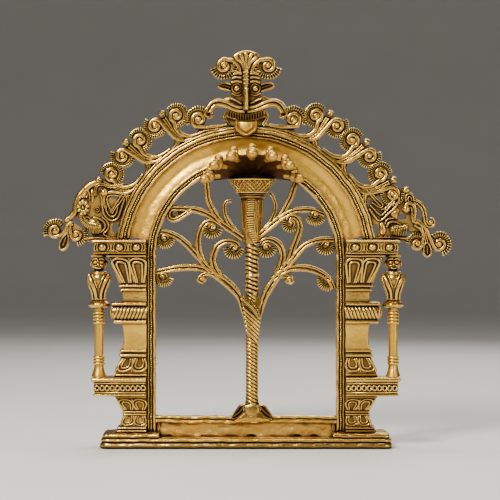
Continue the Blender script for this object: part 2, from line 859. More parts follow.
@dataclass(frozen=True)
class Layout:
    """The sizes that the pieces share, read from the frame's nodes."""

    base_x: float
    base_y: float
    base_h: float
    sill_h: float
    rail_z: float
    rail_top: float
    rim_r: float
    band_r: float
    outer_r: float
    crest_r: float
    arch_z: float
    back: float
    rim_front: float
    outer_front: float
    shaft_x: float
    pillar_front: float
    ledge_x: float
    abacus_top: float
    post_x: float
    post_y: float
    trunk_x: float
    trunk_z: float
    coil_z: float
    neck_z: float
    ring_z: float
    hood_z: float

    @property
    def crown_z(self) -> float:
        """Top of the arch mouldings."""
        return self.arch_z + self.crest_r

    @property
    def ledge(self) -> float:
        """How far the abacus and the corbel stand out past the shaft."""
        return self.ledge_x - self.shaft_x

    @classmethod
    def from_frame(cls) -> Layout:
        """Reads the sizes from the nodes' boxes.

        Returns:
            The layout in millimetres.
        """
        slab, rim, panel, moulding = (high("base_slab"), low("inner_arch_rim"), high("panel_plate"),
                                      high("outer_arch_moulding"))
        post = (low("colonnette_right") + high("colonnette_right")) / 2
        return cls(
            base_x=slab.x, base_y=slab.y, base_h=slab.z, sill_h=low("panel_plate").z, rail_z=panel.z + 0.3,
            rail_top=high("parapet_frame").z, rim_r=low("jamb_right").x, band_r=high("jamb_right").x,
            outer_r=high("arch_band").z - rim.z, crest_r=moulding.z - rim.z, arch_z=rim.z,
            back=high("inner_arch_rim").y, rim_front=-rim.y, outer_front=-low("outer_arch_moulding").y,
            shaft_x=high("pillar_shaft_right").x - 0.6, pillar_front=-low("pillar_shaft_right").y - 0.21,
            ledge_x=high("corbel_right").x, abacus_top=high("abacus_right").z, post_x=post.x, post_y=post.y,
            trunk_x=(low("serpent_coils").x + high("serpent_coils").x) / 2, trunk_z=low("trunk").z,
            coil_z=low("serpent_coils").z, neck_z=low("serpent_neck").z, ring_z=low("hood_collar").z,
            hood_z=high("hood_collar").z)


# Pieces


@dataclass
class Base:
    """The slab, the parapet and its sunk panel.

    Edge and step are profiles in pairs of inset and share of the height.
    """

    at: Layout
    corner: float = 5.0
    edge: Outline = ((1.4, 0), (0.5, 0.07), (0.05, 0.2), (0, 0.32), (0.3, 0.48), (1, 0.58), (2, 0.62),
                     (1.4, 0.67), (0.6, 0.75), (0.5, 0.85), (1, 0.95), (2.2, 1))
    step: Outline = ((3.4, -0.1), (2.2, 0.1), (1.8, 0.3), (1.7, 0.5), (2, 0.72), (2.8, 0.92), (3.8, 1))
    loop_points: int = 260
    wobble: float = 0.3

    def loop(self, inset: float, inner: Optional[float] = None) -> np.ndarray:
        """A rectangle with round corners, as pairs of X and Y.

        Args:
            inset: Distance inside the slab's edge.
            inner: Where a block at the right-hand end starts, or the whole slab if left out.

        Returns:
            Points round the loop, the same number for every inset.
        """
        x, y = self.at.base_x - inset, self.at.base_y - inset
        r = max(self.corner - inset, 1)
        points: list[Pair] = [] if inner is None else [(inner, y), (inner, -y)]
        front, rear = (x - r, r - y, 270), (x - r, y - r, 0)
        whole = (rear, (r - x, y - r, 90), (r - x, r - y, 180), front)
        for cx, cy, start in whole if inner is None else (front, rear):
            points.extend(turn((cx, cy), r, start + a) for a in np.linspace(0, 90, 9))
        path = resample(np.array(points + points[:1]), 0.5)
        marks = np.linspace(0, 1, self.loop_points, endpoint=False)
        return np.stack([np.interp(marks, np.linspace(0, 1, len(path)), path[:, k]) for k in (0, 1)], 1)

    def slab(self) -> Wax:
        """The slab of two rolls, with a stepped block under each pillar and a strip behind the panel."""
        wax, at = Wax(), self.at
        wax.rings(np.array([raised(self.loop(inset), t * at.sill_h) for inset, t in self.edge]))
        rise, inner = at.base_h - at.sill_h, at.rim_r - 2.5
        for s in BOTH:
            wax.rings(np.array([raised(self.loop(inset, inner) * (s, 1), at.sill_h + t * rise)
                                for inset, t in self.step]))
        near, far = 1.6, at.base_y - 3.4
        strip = np.array([(-inner, near), (inner, near), (inner, far), (-inner, far)])
        wax.rings(np.array([raised(strip, z) for z in (at.sill_h - 0.3, at.base_h)]))
        return wax

    def parapet(self) -> Wax:
        """The rail of two strands on a core, with a strand down each end."""
        at, wax = self.at, Relief((0, self.at.rail_z))
        half, rise = at.rim_r, at.rail_top - at.rail_z
        xs = np.linspace(-half, half, 120)
        sag = 0.35 * np.sin(xs / 13) + 0.2 * np.sin(xs / 5.1)
        deep = (at.back + at.rim_front) / 2 - 0.6
        core = np.column_stack([xs, (at.rail_top + at.rail_z) / 2 + 0.4 * sag])
        wax.strand(core, rise / 2 - 0.2, at.back - deep, deep, sides=12)
        wax.strand(np.column_stack([xs, at.rail_top - 1.15 + sag * 0.5]), 1, 1.3 - at.rim_front)
        wax.strand(np.column_stack([xs, at.rail_z + 1.5 + sag * 0.8]), 1.35, 1.4 - at.rim_front)
        for s in BOTH:
            end = ((half - 5, 1.6), (half - 2, 1), (half - 1.2, -2), (half - 1.2, at.base_h - at.rail_z))
            wax.strand(wax.line(end, side=s), 1.3, -0.4, 3.6)
        return wax

    def panel(self) -> Wax:
        """The rough sunk panel, with gaps under its lower edge where the metal did not run."""
        at, wax, rows = self.at, Wax(), 8
        half = at.rim_r - 2.6
        xs = np.linspace(-half, half, 150)
        gap = np.clip(np.sin(xs / 3.1) * np.sin(xs / 7.7 + 1) + 0.5 * np.sin(xs / 1.7), 0, 1) * 1.5
        rings = []
        for x, lift in zip(xs, gap):
            zs = np.linspace(at.sill_h + lift, at.rail_z + 0.1, rows)
            front = -1.0 + 0.16 * np.sin(x / 2.3 + zs) + 0.22 * np.sin(x / 6.7 - 0.6 * zs)
            depths = np.concatenate([front, np.full(rows, 1.4)])
            rings.append(np.column_stack([np.full(2 * rows, x), depths, np.concatenate([zs, zs[::-1]])]))
        wax.rings(np.array(rings))
        return wax

    def casts(self) -> list[Cast]:
        """The base's pieces."""
        return [Cast("slab", "base_slab", self.slab(), wobble=self.wobble),
                Cast("parapet", "parapet_frame", self.parapet(), wobble=self.wobble),
                Cast("sunk_panel", "panel_plate", self.panel(), ROUGH, 0.2)]


@dataclass(frozen=True)
class Tier:
    """One tier of a pillar, in shares of its height.

    A step of two numbers is a plain level: its outset past the shaft and its height. A step of four is a
    half-round roll: its lower and upper height, its outset and its bulge. Grounds are the stretches behind
    ornament. Petals have a lower and an upper height, the outsets there, 1 or -1 for round ends at the top
    or at the bottom, and the radius of their thread. On a ledge, outsets count from the ledge's end.
    """

    steps: tuple[tuple[float, ...], ...]
    grounds: Outline = ()
    petals: tuple[tuple[float, float, float, float, int, float], ...] = ()
    ledge: bool = False


TIERS = {
    "pillar_foot": Tier(
        ((0, 0.08, 3.4, 1.3), (0.09, 0.16, 3, 1.2), (1.8, 0.18), (-0.4, 0.45), (0.46, 0.52, -0.6, 1.3),
         (0.53, 0.59, -0.6, 1.3), (0, 0.61), (1.2, 0.74), (4.6, 0.92), (0.93, 1, 4.4, 1.2)),
        ((0.18, 0.45), (0.61, 0.92)), ((0.18, 0.45, 1.7, -0.4, -1, 0.6), (0.61, 0.92, 0, 4.4, 1, 0.62))),
    "corbel": Tier(
        ((0, 0.13, -2.6, 1.3), (-2.2, 0.18), (-2, 0.7), (0.74, 1, -1.6, 1.6)), ((0.18, 0.7),), ledge=True),
    "pillar_lotus": Tier(
        ((0, 0.12, 4.6, 1.1), (5.2, 0.2), (3.2, 0.36), (0.8, 0.66), (0.7, 0.84, 1.2, 1.7),
         (0.86, 1, 0.6, 1.7)), ((0.2, 0.66),), ((0.19, 0.66, 5, 0.9, -1, 0.8),)),
    "rope_band": Tier(
        ((0.03, 0.2, 5.2, 1.4), (5.4, 0.24), (0.25, 0.78, 6.2, 1.5), (5.2, 0.8), (0.83, 0.99, 6, 1.7))),
    "pillar_capital": Tier(
        ((0.6, 0), (0.6, 0.19), (0.22, 0.29, 0.8, 1.4), (0.3, 0.37, 1.4, 1.7), (1.8, 0.4), (2.8, 0.6),
         (5.6, 0.8), (9, 0.91), (0.93, 1, 9.2, 1.9)), ((0.4, 0.91),), ((0.4, 0.92, 1.8, 8.6, 1, 0.9),)),
    "abacus": Tier(
        ((0, 0.13, -3, 1.3), (-3, 0.2), (-3, 0.76), (0.8, 1, -1.4, 1.4)), ((0.2, 0.76),), ledge=True)}


@dataclass(frozen=True)
class Cord:
    """A cord of wax on a figure: points of X, Y and a share of the figure's height, and its end radii."""

    points: tuple[Point, ...]
    first: float
    last: float
    step: float


@dataclass(frozen=True)
class Figure:
    """The attendant's turned profiles, in radius and share of its height, and the cords on it."""

    lotus: Outline = ((3.2, 0), (5.6, 0.015), (7, 0.05), (6.8, 0.085), (5.4, 0.12), (4.4, 0.14), (4, 0.16))
    body: Outline = ((3.4, 0.13), (4.2, 0.17), (4.2, 0.22), (4.6, 0.3), (5.6, 0.4), (6.4, 0.49), (6.6, 0.55),
                     (6, 0.61), (4.8, 0.645), (4.4, 0.67), (3, 0.7))
    cap: Outline = ((4.4, 0.93), (5.2, 0.95), (5.5, 0.98), (5.2, 1))
    belts: tuple[Point, ...] = ((0.165, 4.5, 0.5), (0.66, 4.8, 0.75), (0.635, 5.4, 0.6))
    leg: Cord = Cord(((1.5, -4, 0.15), (1.7, -4.3, 0.26), (2.7, -4.9, 0.37), (4.6, -4.4, 0.5),
                      (6, -2.6, 0.58)), 1, 1.6, 0.9)
    arm: Cord = Cord(((3.6, -2.6, 0.15), (4, -2.8, 0.28), (5.6, -2.6, 0.42), (7, -1, 0.54),
                      (6.2, 0, 0.61)), 0.8, 1.5, 0.9)
    chest: Cord = Cord(((3.9, -5, 0.61), (2.4, -6, 0.52), (0.7, -5.4, 0.38)), 0.7, 0.5, 0.8)
    brow: Cord = Cord(((0.5, -4.9, 0.075), (2.1, -4.7, 0.085), (3.8, -3.6, 0.06)), 0.68, 0.68, 0.7)
    forehead: Cord = Cord(((0.4, -4.7, 0.115), (2, -4.4, 0.125), (3.8, -3.2, 0.105)), 0.45, 0.45, 0.7)
    cheek: Cord = Cord(((1.1, -5, -0.035), (2.4, -4.7, -0.05), (3.4, -3.8, -0.03)), 0.4, 0.4, 0.7)
    mouth: Cord = Cord(((-1.7, -4.6, -0.085), (0, -5, -0.095), (1.7, -4.6, -0.085)), 0.5, 0.5, 0.6)


@dataclass
class Pillar:
    """One pillar: tiers of mouldings, petals, rope and beads, built for the right-hand side.

    The share is how much of a tier's outset shows at the front.
    """

    at: Layout
    side: Side
    share: float = 0.35
    corner: float = 1.1
    petal_count: int = 2
    dots: int = 10
    ovals: int = 3
    lay: float = 2.35
    figure: Figure = Figure()

    @staticmethod
    def up(node: str, t: float) -> float:
        """Height at a share of a tier."""
        foot, top = low(f"{node}_right").z, high(f"{node}_right").z
        return foot + (top - foot) * t

    def face(self, out: float) -> float:
        """Depth of the front at an outset."""
        return -self.at.pillar_front - self.share * out

    def loft(self, wax: Wax, levels: Sequence[Point], marks: Along = 0) -> None:
        """Lofts levels round the front and the outer side.

        Args:
            wax: Where they go.
            levels: Outset at the side, height, and outset at the front.
            marks: How much each level belongs to the ground.
        """
        rings, r, inner, back = [], self.corner, self.at.band_r, self.at.back
        for out, z, front in levels:
            x, y = self.at.shaft_x + out, -self.at.pillar_front - front
            flat = [(inner + (x - r - inner) * t, y) for t in (0, 0.33, 0.66)]
            flat += [turn((x - r, y + r), r, a) for a in np.linspace(-90, 0, 6)]
            flat += [(x, y + (back - y) * 0.5), (x, back), (inner, back)]
            rings.append(raised(np.array(flat), z))
        wax.rings(np.array(rings), ground=marks)

    def tier(self, node: str) -> Wax:
        """Builds a tier from its drawing.

        Args:
            node: Its name, without the side.

        Returns:
            Its mouldings and petals.
        """
        wax, tier = Wax(), TIERS[node]
        start = self.at.ledge if tier.ledge else 0.0
        levels: list[Point] = []
        for step in tier.steps:
            low_t, high_t, out, bulge = step if len(step) == 4 else (step[1], step[1], step[0], 0)
            for a in np.linspace(0, math.pi, 7) if len(step) == 4 else (0,):
                t = low_t + (high_t - low_t) * (1 - math.cos(a)) / 2
                swell = bulge * math.sin(a)
                levels.append((start + out + swell, self.up(node, t), self.share * (start + out) + swell))
        spans = [(self.up(node, a) - 0.01, self.up(node, b) + 0.01) for a, b in tier.grounds]
        marks = [float(any(a <= z <= b for a, b in spans)) for _, z, _ in levels]
        self.loft(wax, levels, np.array(marks))
        for foot, top, e0, e1, way, r in tier.petals:
            self.petals(wax, (self.up(node, foot), self.up(node, top)), (e0, e1), way, r)
        return wax

    @staticmethod
    def petal(foot: float, tip: float, half_foot: float, half_tip: float, ease: float) -> np.ndarray:
        """A U-shaped petal.

        Args:
            foot: Height of its open end.
            tip: Height of its round end.
            half_foot: Half width at the open end.
            half_tip: Half width before the round end.
            ease: How far the round end stays back from its height.

        Returns:
            Pairs of sideways distance and height along its outline.
        """
        way = 1 if tip > foot else -1
        end = tip - way * ease
        rise = way * half_tip * 0.8
        half = ((half_foot, foot), (half_tip, end - rise), (half_tip * 0.86, end - 0.34 * rise),
                (half_tip * 0.45, end - 0.05 * rise))
        return smooth(halves(half, (0, end)), 0.9)

    def petals(self, wax: Wax, heights: Pair, outs: Pair, way: int, r: float) -> None:
        """Rows of petals on the front and the outer side of a sloping tier.

        Args:
            wax: Where the petals go.
            heights: Lower and upper level.
            outs: Outsets there.
            way: 1 where the round ends are at the top, -1 where they are at the bottom.
            r: Radius of the outline thread.
        """
        at, count = self.at, self.petal_count
        foot, tip = heights[::way]
        inner, run = at.band_r, at.shaft_x - at.band_r

        def skin(share: float, dx: float, z: float, lift: float) -> Point:
            """A point over the sloping front, by its share of the width there and a step aside."""
            out = float(np.interp(z, heights, outs))
            return inner + (run + out) * share + dx, self.face(out) - lift, z

        near, far = run + outs[0], run + outs[1 if way > 0 else 0]
        for i in range(count):
            for ease, shrink, thick in ((0.4, 1, r), (0.4 + 2.6 * r, 0.56, r * 0.85)):
                shape = self.petal(foot, tip, 0.3 * near / count * shrink, 0.45 * far / count * shrink, ease)
                wax.tube([skin((i + 0.5) / count, dx, z, 0.15) for dx, z in shape], thick)
            wax.tube([skin((i + 1) / count, -0.3, z, 0.1) for z in np.linspace(*heights, 9)], 0.5)
        for y in (2.4 - at.pillar_front, at.back - 2.6):
            for ease, shrink in ((0.5, 1), (2.1, 0.55)):
                shape = self.petal(foot, tip, 1.7 * shrink, 2.4 * shrink, ease)
                outset = at.shaft_x + np.interp(shape[:, 1], heights, outs) + 0.15
                wax.tube(np.column_stack([outset, y + shape[:, 0], shape[:, 1]]), r)

    def fillets(self, wax: Wax, node: str, shares: Pair, y: float, inset: float, radius: float) -> None:
        """Two threads along the front of a ledge.

        Args:
            wax: Where they go.
            node: The ledge.
            shares: Their heights.
            y: Their depth.
            inset: How far they stop before the ledge's end.
            radius: Their radius.
        """
        for t in shares:
            z = self.up(node, t)
            wax.tube([(self.at.band_r + 0.3, y, z), (self.at.ledge_x - inset, y, z)], radius)

    def corbel(self) -> Wax:
        """The projecting corbel with its row of ringed dots."""
        at, wax = self.at, self.tier("corbel")
        front, middle = self.face(at.ledge - 2.1), self.up("corbel", 0.44)
        length = at.ledge_x - 2.4 - at.band_r
        for i in range(self.dots):
            x = at.band_r + length * (i + 0.5) / self.dots
            wax.tube(hoop((x, front - 0.5, middle), (1.4, 0, 0), (0, 0, 1.5), 15), 0.62)
        self.fillets(wax, "corbel", (0.2, 0.69), front - 0.3, 2.6, 0.6)
        for i in range(5):
            ring = hoop((at.ledge_x - 2, front + 2.4 + i * 3.4, middle), (0, 1.2, 0), (0, 0, 1.6), 14)
            wax.tube(ring, 0.42, sides=6)
        return wax

    def shaft(self) -> Wax:
        """The plain block of the shaft, slightly hollow at its side."""
        wax, rows = Wax(), []
        for t in np.linspace(0, 1, 12):
            bow = math.sin(math.pi * t)
            rows.append((0.6 - 0.9 * bow, self.up("pillar_shaft", t), 0.3 - 0.5 * bow))
        self.loft(wax, rows)
        return wax

    def rope(self) -> Wax:
        """The band of twisted rope between its fillets."""
        at, wax = self.at, self.tier("rope_band")
        t = np.linspace(-1, 1, 9)
        foot, middle, top = (self.up("rope_band", share) for share in (0, 0.515, 1))
        half = (top - foot) * 0.27
        front = self.face(6.4) - 0.9
        fall, zs = 1 - np.sqrt(1 - (0.92 * t) ** 2), middle + half * t
        girth = np.array([0.6, 0.85, 1, 1.1, 1.1, 1.1, 1, 0.85, 0.6])
        for x in np.arange(at.band_r + 0.8, at.shaft_x + 6.5, self.lay):
            wax.tube(np.column_stack([x - 1.7 * t, front + 1.6 * fall - 0.2, zs]), girth)
        for y in np.arange(front + 2.6, at.back - 0.5, self.lay):
            wax.tube(np.column_stack([at.shaft_x + 7.6 - 1.4 * fall, y - 1.5 * t, zs]), girth)
        return wax

    def abacus(self) -> Wax:
        """The abacus with ovals between crescents."""
        at, wax = self.at, self.tier("abacus")
        front, middle = self.face(at.ledge - 3), self.up("abacus", 0.47)
        half = (self.up("abacus", 1) - self.up("abacus", 0)) * 0.27
        length = at.ledge_x - 2.6 - at.band_r
        a = np.linspace(-1.35, 1.35, 9)
        for i in range(self.ovals):
            x = at.band_r + length * (i + 0.55) / self.ovals
            wax.bead(x, front - 0.2, middle, (2.7, 1.9, half * 1.05), 16, 10)
            for s in BOTH:
                for reach, tall in ((3.8, 1), (5.4, 0.94)):
                    bow = [x + s * (reach - 0.9 * (1 - np.cos(a))), middle + half * np.sin(a) * tall]
                    wax.tube(np.insert(np.column_stack(bow), 1, front - 0.2, axis=1), 0.62)
        for i in range(4):
            wax.bead(at.ledge_x - 2.8, front + 3.0 + i * 4.2, middle, (1.3, 1.6, half * 0.9))
        self.fillets(wax, "abacus", (0.2, 0.75), front - 0.1, 3.2, 0.45)
        return wax

    def turned(self, wax: Wax, node: str, profile: Outline, segments: int, flat_y: float = 1,
               ripple: Ripple = None) -> None:
        """Turns a profile of radius and share of a node's height about the colonnette's axis."""
        rows = [(r, self.up(node, t)) for r, t in profile]
        wax.lathe(rows, self.at.post_x, self.at.post_y, segments, flat_y, ripple)

    def colonnette(self) -> Wax:
        """The turned post with its groups of rings."""
        wax, r = Wax(), half_width("colonnette_right") - 0.9
        rows = [(r + 1.7, 0), (r + 1.3, 0.03), (r + 0.5, 0.08), (r - 0.1, 0.14)]
        for t in (0.17, 0.214, 0.258, 0.77, 0.816, 0.862, 0.908):
            rows += [(r - 0.2 + 0.95 * math.sin(a), t + 0.042 * (1 - math.cos(a)) / 2)
                     for a in np.linspace(0, math.pi, 7)]
        rows += [(r - 0.1, 0.98), (r - 0.1, 1)]
        self.turned(wax, "colonnette", rows, 28)
        return wax

    @staticmethod
    def cord(wax: Wax, cord: Cord, foot: Point, height: float, side: int = 1) -> None:
        """Lays a cord of a figure of a height, drawn from a foot and turned over to the left by side -1."""
        line = smooth([(side * x, y, height * t) for x, y, t in cord.points], cord.step) + foot
        wax.tube(line, taper(line, cord.first, cord.last))

    def attendant(self) -> Wax:
        """The small attendant that carries the end of the abacus."""
        wax, figure, node, x, y = Wax(), self.figure, "attendant", self.at.post_x, self.at.post_y
        foot = self.up(node, 0)
        h = self.up(node, 1) - foot
        self.turned(wax, node, figure.lotus, 36,
                    ripple=lambda a, t: 1 + 0.05 * np.cos(10 * a) * math.sin(math.pi * min(t * 1.4, 1)))
        self.turned(wax, node, figure.body, 32, flat_y=0.92)
        for s in BOTH:
            for cord in (figure.leg, figure.arm, figure.chest):
                self.cord(wax, cord, (x, y, foot), h, s)
        for t, r, thick in figure.belts:
            wax.tube(hoop((x, y, self.up(node, t)), (r, 0, 0), (0, r * 0.95, 0), 33), thick)
        self.head(wax, (x, y, self.up(node, 0.83)), h)
        self.turned(wax, node, figure.cap, 28)
        return wax

    def head(self, wax: Wax, middle: Point, h: float) -> None:
        """A stylised mask: lined brow, round eyes, flat nose and wide mouth.

        Args:
            wax: Where it goes.
            middle: Middle of the head.
            h: Height of the whole figure.
        """
        (x, y, z), figure = middle, self.figure
        wax.bead(x, y, z, (5, 4.9, 0.155 * h), 20, 12)
        for s in BOTH:
            wax.bead(x + s * 1.9, y - 4.5, z + 0.02 * h, (1.5, 1.2, 1.25), 12, 8)
            wax.bead(x + s * 5, y - 0.4, z, (0.9, 1.4, 1.9), 8)
            for cord in (figure.brow, figure.forehead, figure.cheek):
                self.cord(wax, cord, middle, h, s)
        wax.bead(x, y - 5.1, z - 0.02 * h, (0.8, 0.8, 1), 8)
        self.cord(wax, figure.mouth, middle, h)

    def casts(self) -> list[Cast]:
        """The pillar's pieces on its own side."""
        made = {"pillar_foot": self.tier("pillar_foot"), "corbel": self.corbel(),
                "pillar_lotus": self.tier("pillar_lotus"), "pillar_shaft": self.shaft(),
                "rope_band": self.rope(), "pillar_capital": self.tier("pillar_capital"),
                "abacus": self.abacus(), "colonnette": self.colonnette(), "attendant": self.attendant()}
        end, plain = self.side.suffix, ("pillar_shaft", "colonnette")
        return [Cast(f"{name}_cast_{end}", f"{name}_{end}", self.side.hand(wax),
                     POLISHED if name in plain else ANTIQUE) for name, wax in made.items()]


@dataclass
class Arch:
    """Jambs, inner rim, polished band and outer mouldings."""

    at: Layout
    step: float = 1.5
    wobble: float = 0.3

    def rim(self, line: Callable[[float], np.ndarray]) -> Wax:
        """The rim's section of three strands, the middle one beaded.

        Args:
            line: Path at a distance outside the opening.

        Returns:
            The rim along the path.
        """
        at, wax = self.at, Wax()
        front, back, wide = -at.rim_front, at.back, at.band_r - at.rim_r
        half = ((0.3, back), (0, back - 0.8), (0, front + 2.2), (0.5, front + 1.9))
        section = np.array(half + tuple((wide - x, y) for x, y in half[::-1]))
        wax.sweep(line(0), section * (-1, 1))
        wax.strand(line(0.95), 0.98, front + 1.05, 1.1)
        wax.strand(line(wide - 0.95), 0.95, front + 1, 1.1)
        wax.strand(line(wide / 2), 0.5, front + 1.3)
        wax.beads_along(line(wide / 2), 0.72, front + 0.9, 1.25)
        return wax

    def ring(self, radius: float, level: float) -> np.ndarray:
        """The arc over a level, from left to right."""
        lift = math.degrees(math.asin(min(1, (level - self.at.arch_z) / radius)))
        return arc((0, self.at.arch_z), radius, 180 - lift, lift, self.step)

    def spring(self, radius: float) -> np.ndarray:
        """The arc that stands on the abacus tops, from left to right."""
        return self.ring(radius, self.at.abacus_top)

    def jamb(self) -> Wax:
        """The right-hand jamb."""
        steps = np.linspace(self.at.base_h, self.at.arch_z, 70)
        return self.rim(lambda d: np.column_stack([np.full(70, self.at.rim_r + d), steps]))

    def inner(self) -> Wax:
        """The rim round the head of the opening."""
        return self.rim(lambda d: self.ring(self.at.rim_r + d, self.at.arch_z)[::-1])

    def band(self) -> Wax:
        """The plain hollowed band."""
        at, wax = self.at, Wax()
        wide, front, back = at.outer_r - at.band_r, 5 - at.outer_front, at.back - 0.2
        t = np.linspace(0, 1, 12)
        face = np.column_stack([t * wide, front + np.sin(math.pi * t) - 0.2 * np.sin(3 * math.pi * t)])
        wax.sweep(self.spring(at.band_r)[::-1], np.vstack([face, (wide, back), (0, back)]) * (-1, 1))
        return wax

    def outer(self) -> Wax:
        """The stepped mouldings, one of them beaded."""
        at, wax = self.at, Wax()
        wide, front = at.crest_r - at.outer_r, -at.outer_front
        face = ((0, 3.4), (0.3, 3), (0.55, 2.4), (0.8, 2.4), (1, 3))
        section = [(0, at.back), *((wide * share, front + y) for share, y in face), (wide, at.back)]
        wax.sweep(self.spring(at.outer_r)[::-1], np.array(section) * (-1, 1))
        for share, r, y in ((0.12, 0.95, 1.6), (0.64, 1.25, 0.1), (0.89, 0.85, 0.8)):
            wax.strand(self.spring(at.outer_r + wide * share), r, front + y + r)
        row = self.spring(at.outer_r + wide * 0.37)
        wax.strand(row, 0.55, front + 2.1)
        wax.beads_along(row, 0.76, front + 1.7, 1.3)
        return wax

    def casts(self) -> list[Cast]:
        """The arch's pieces."""
        jamb = self.jamb()
        return [Cast("jamb_cast_right", "jamb_right", jamb, wobble=self.wobble),
                Cast("jamb_cast_left", "jamb_left", jamb.mirrored(), wobble=self.wobble),
                Cast("inner_rim", "inner_arch_rim", self.inner(), wobble=self.wobble),
                Cast("polished_band", "arch_band", self.band(), POLISHED, 0.25),
                Cast("outer_mouldings", "outer_arch_moulding", self.outer(), wobble=self.wobble)]


@dataclass
class Crest:
    """The scrolls that stand along the arch, drawn over the crown for the right-hand side.

    The arm is the stem of the second volute. On the last scroll on the left it runs out instead.
    """

    at: Layout
    angles: tuple[float, ...] = (30, 46, 62)
    half_angle: float = 17.0
    curl: Volute = Volute(((-16.4, -0.3), (-9.6, 0.9), (-5, 3.8), (-2.4, 9)), (-6.9, 18), 4.5, -38, 1.3,
                          (70, 300, 21), 3.3, 2.4)
    arm: Outline = ((-8.6, -0.6), (-3, 1), (0.8, 5))
    run_out: Outline = ((3.2, 11.6), (6.6, 15.4), (11.2, 14.8), (14.6, 11))
    shoots: tuple[Outline, ...] = (((8.6, -1), (4.2, 0.6), (1.4, 3.2), (0.4, 6.6)),
                                   ((5.4, -1.2), (1.6, 0.6), (-0.6, 3.4)))
    ground: Outline = ((-13, -1.2), (-5.6, 2.2), (-2.2, 8), (-2.6, 15), (-1.4, 21.4), (2, 22), (4.4, 19.6),
                       (4, 13), (2.4, 5.6), (7.4, -1.2))
    half_curl: Volute = Volute(((-13.4, 1.4), (-8, 1.8), (-2, 3)), (3.2, 10), 4.9, -60, 1.4, (-5, 150, 14),
                               3.2)
    half_ground: Outline = ((-12, -1.2), (-6, 2.6), (1, 4.6), (6, 3.6), (9, -1.2))

    def scroll(self, both: bool) -> Wax:
        """One scroll with its bud.

        Args:
            both: True for two volutes, False where the arm runs out.

        Returns:
            The wax, still upright over the crown.
        """
        wax = Relief((0, self.at.crown_z))
        wax.volute(self.curl)
        if both:
            wax.volute(Volute((*self.arm, (2.7, 11.6)), (8.8, 19), 4.5, 168, -1.3, (200, 425, 21), 3.3, 2.4))
        else:
            arm = wax.line((*self.arm, *self.run_out), 0.75)
            wax.ribbon(arm, taper(arm, 2.6, 3))
            wax.ribbon(offset(arm, -2.2), 1.3, sink=0.5)
        for shoot in self.shoots:
            wax.ribbon(wax.line(shoot, 0.75), 2, sink=0.4)
        stalk = wax.line(((-0.4, 6.6), (0.3, 13), (0.8, 20.4)), 0.75)
        wax.ribbon(stalk, taper(stalk, 1.6, 3.4), 1, sink=0.3)
        wax.web(wax.line(self.ground, 1), 1.9, 0.6)
        wax.bud((0.8, 23.8))
        return wax

    def half(self) -> Wax:
        """The half scroll beside the lion face, still upright over the crown."""
        wax = Relief((0, self.at.crown_z))
        wax.volute(self.half_curl)
        wax.ribbon(wax.line(((-12, -0.6), (-4, 0.4), (4, 1.4), (9.6, -0.8))), 2, sink=0.4)
        wax.web(wax.line(self.half_ground, 1), 1.9, 0.6)
        return wax

    def casts(self) -> list[Cast]:
        """All the scrolls, each turned to its place."""
        made = []
        for side in Side:
            end = side.suffix
            drawn = {f"crest_scroll_{end}_{i}": (self.scroll(i < 3 or side is Side.RIGHT), angle)
                     for i, angle in enumerate(self.angles, 1)}
            drawn[f"half_scroll_{end}"] = (self.half(), self.half_angle)
            for node, (wax, angle) in drawn.items():
                wax = side.hand(wax.turned(angle, self.at.arch_z))
                made.append(Cast(node.replace("scroll", "volute"), node, wax))
        return made


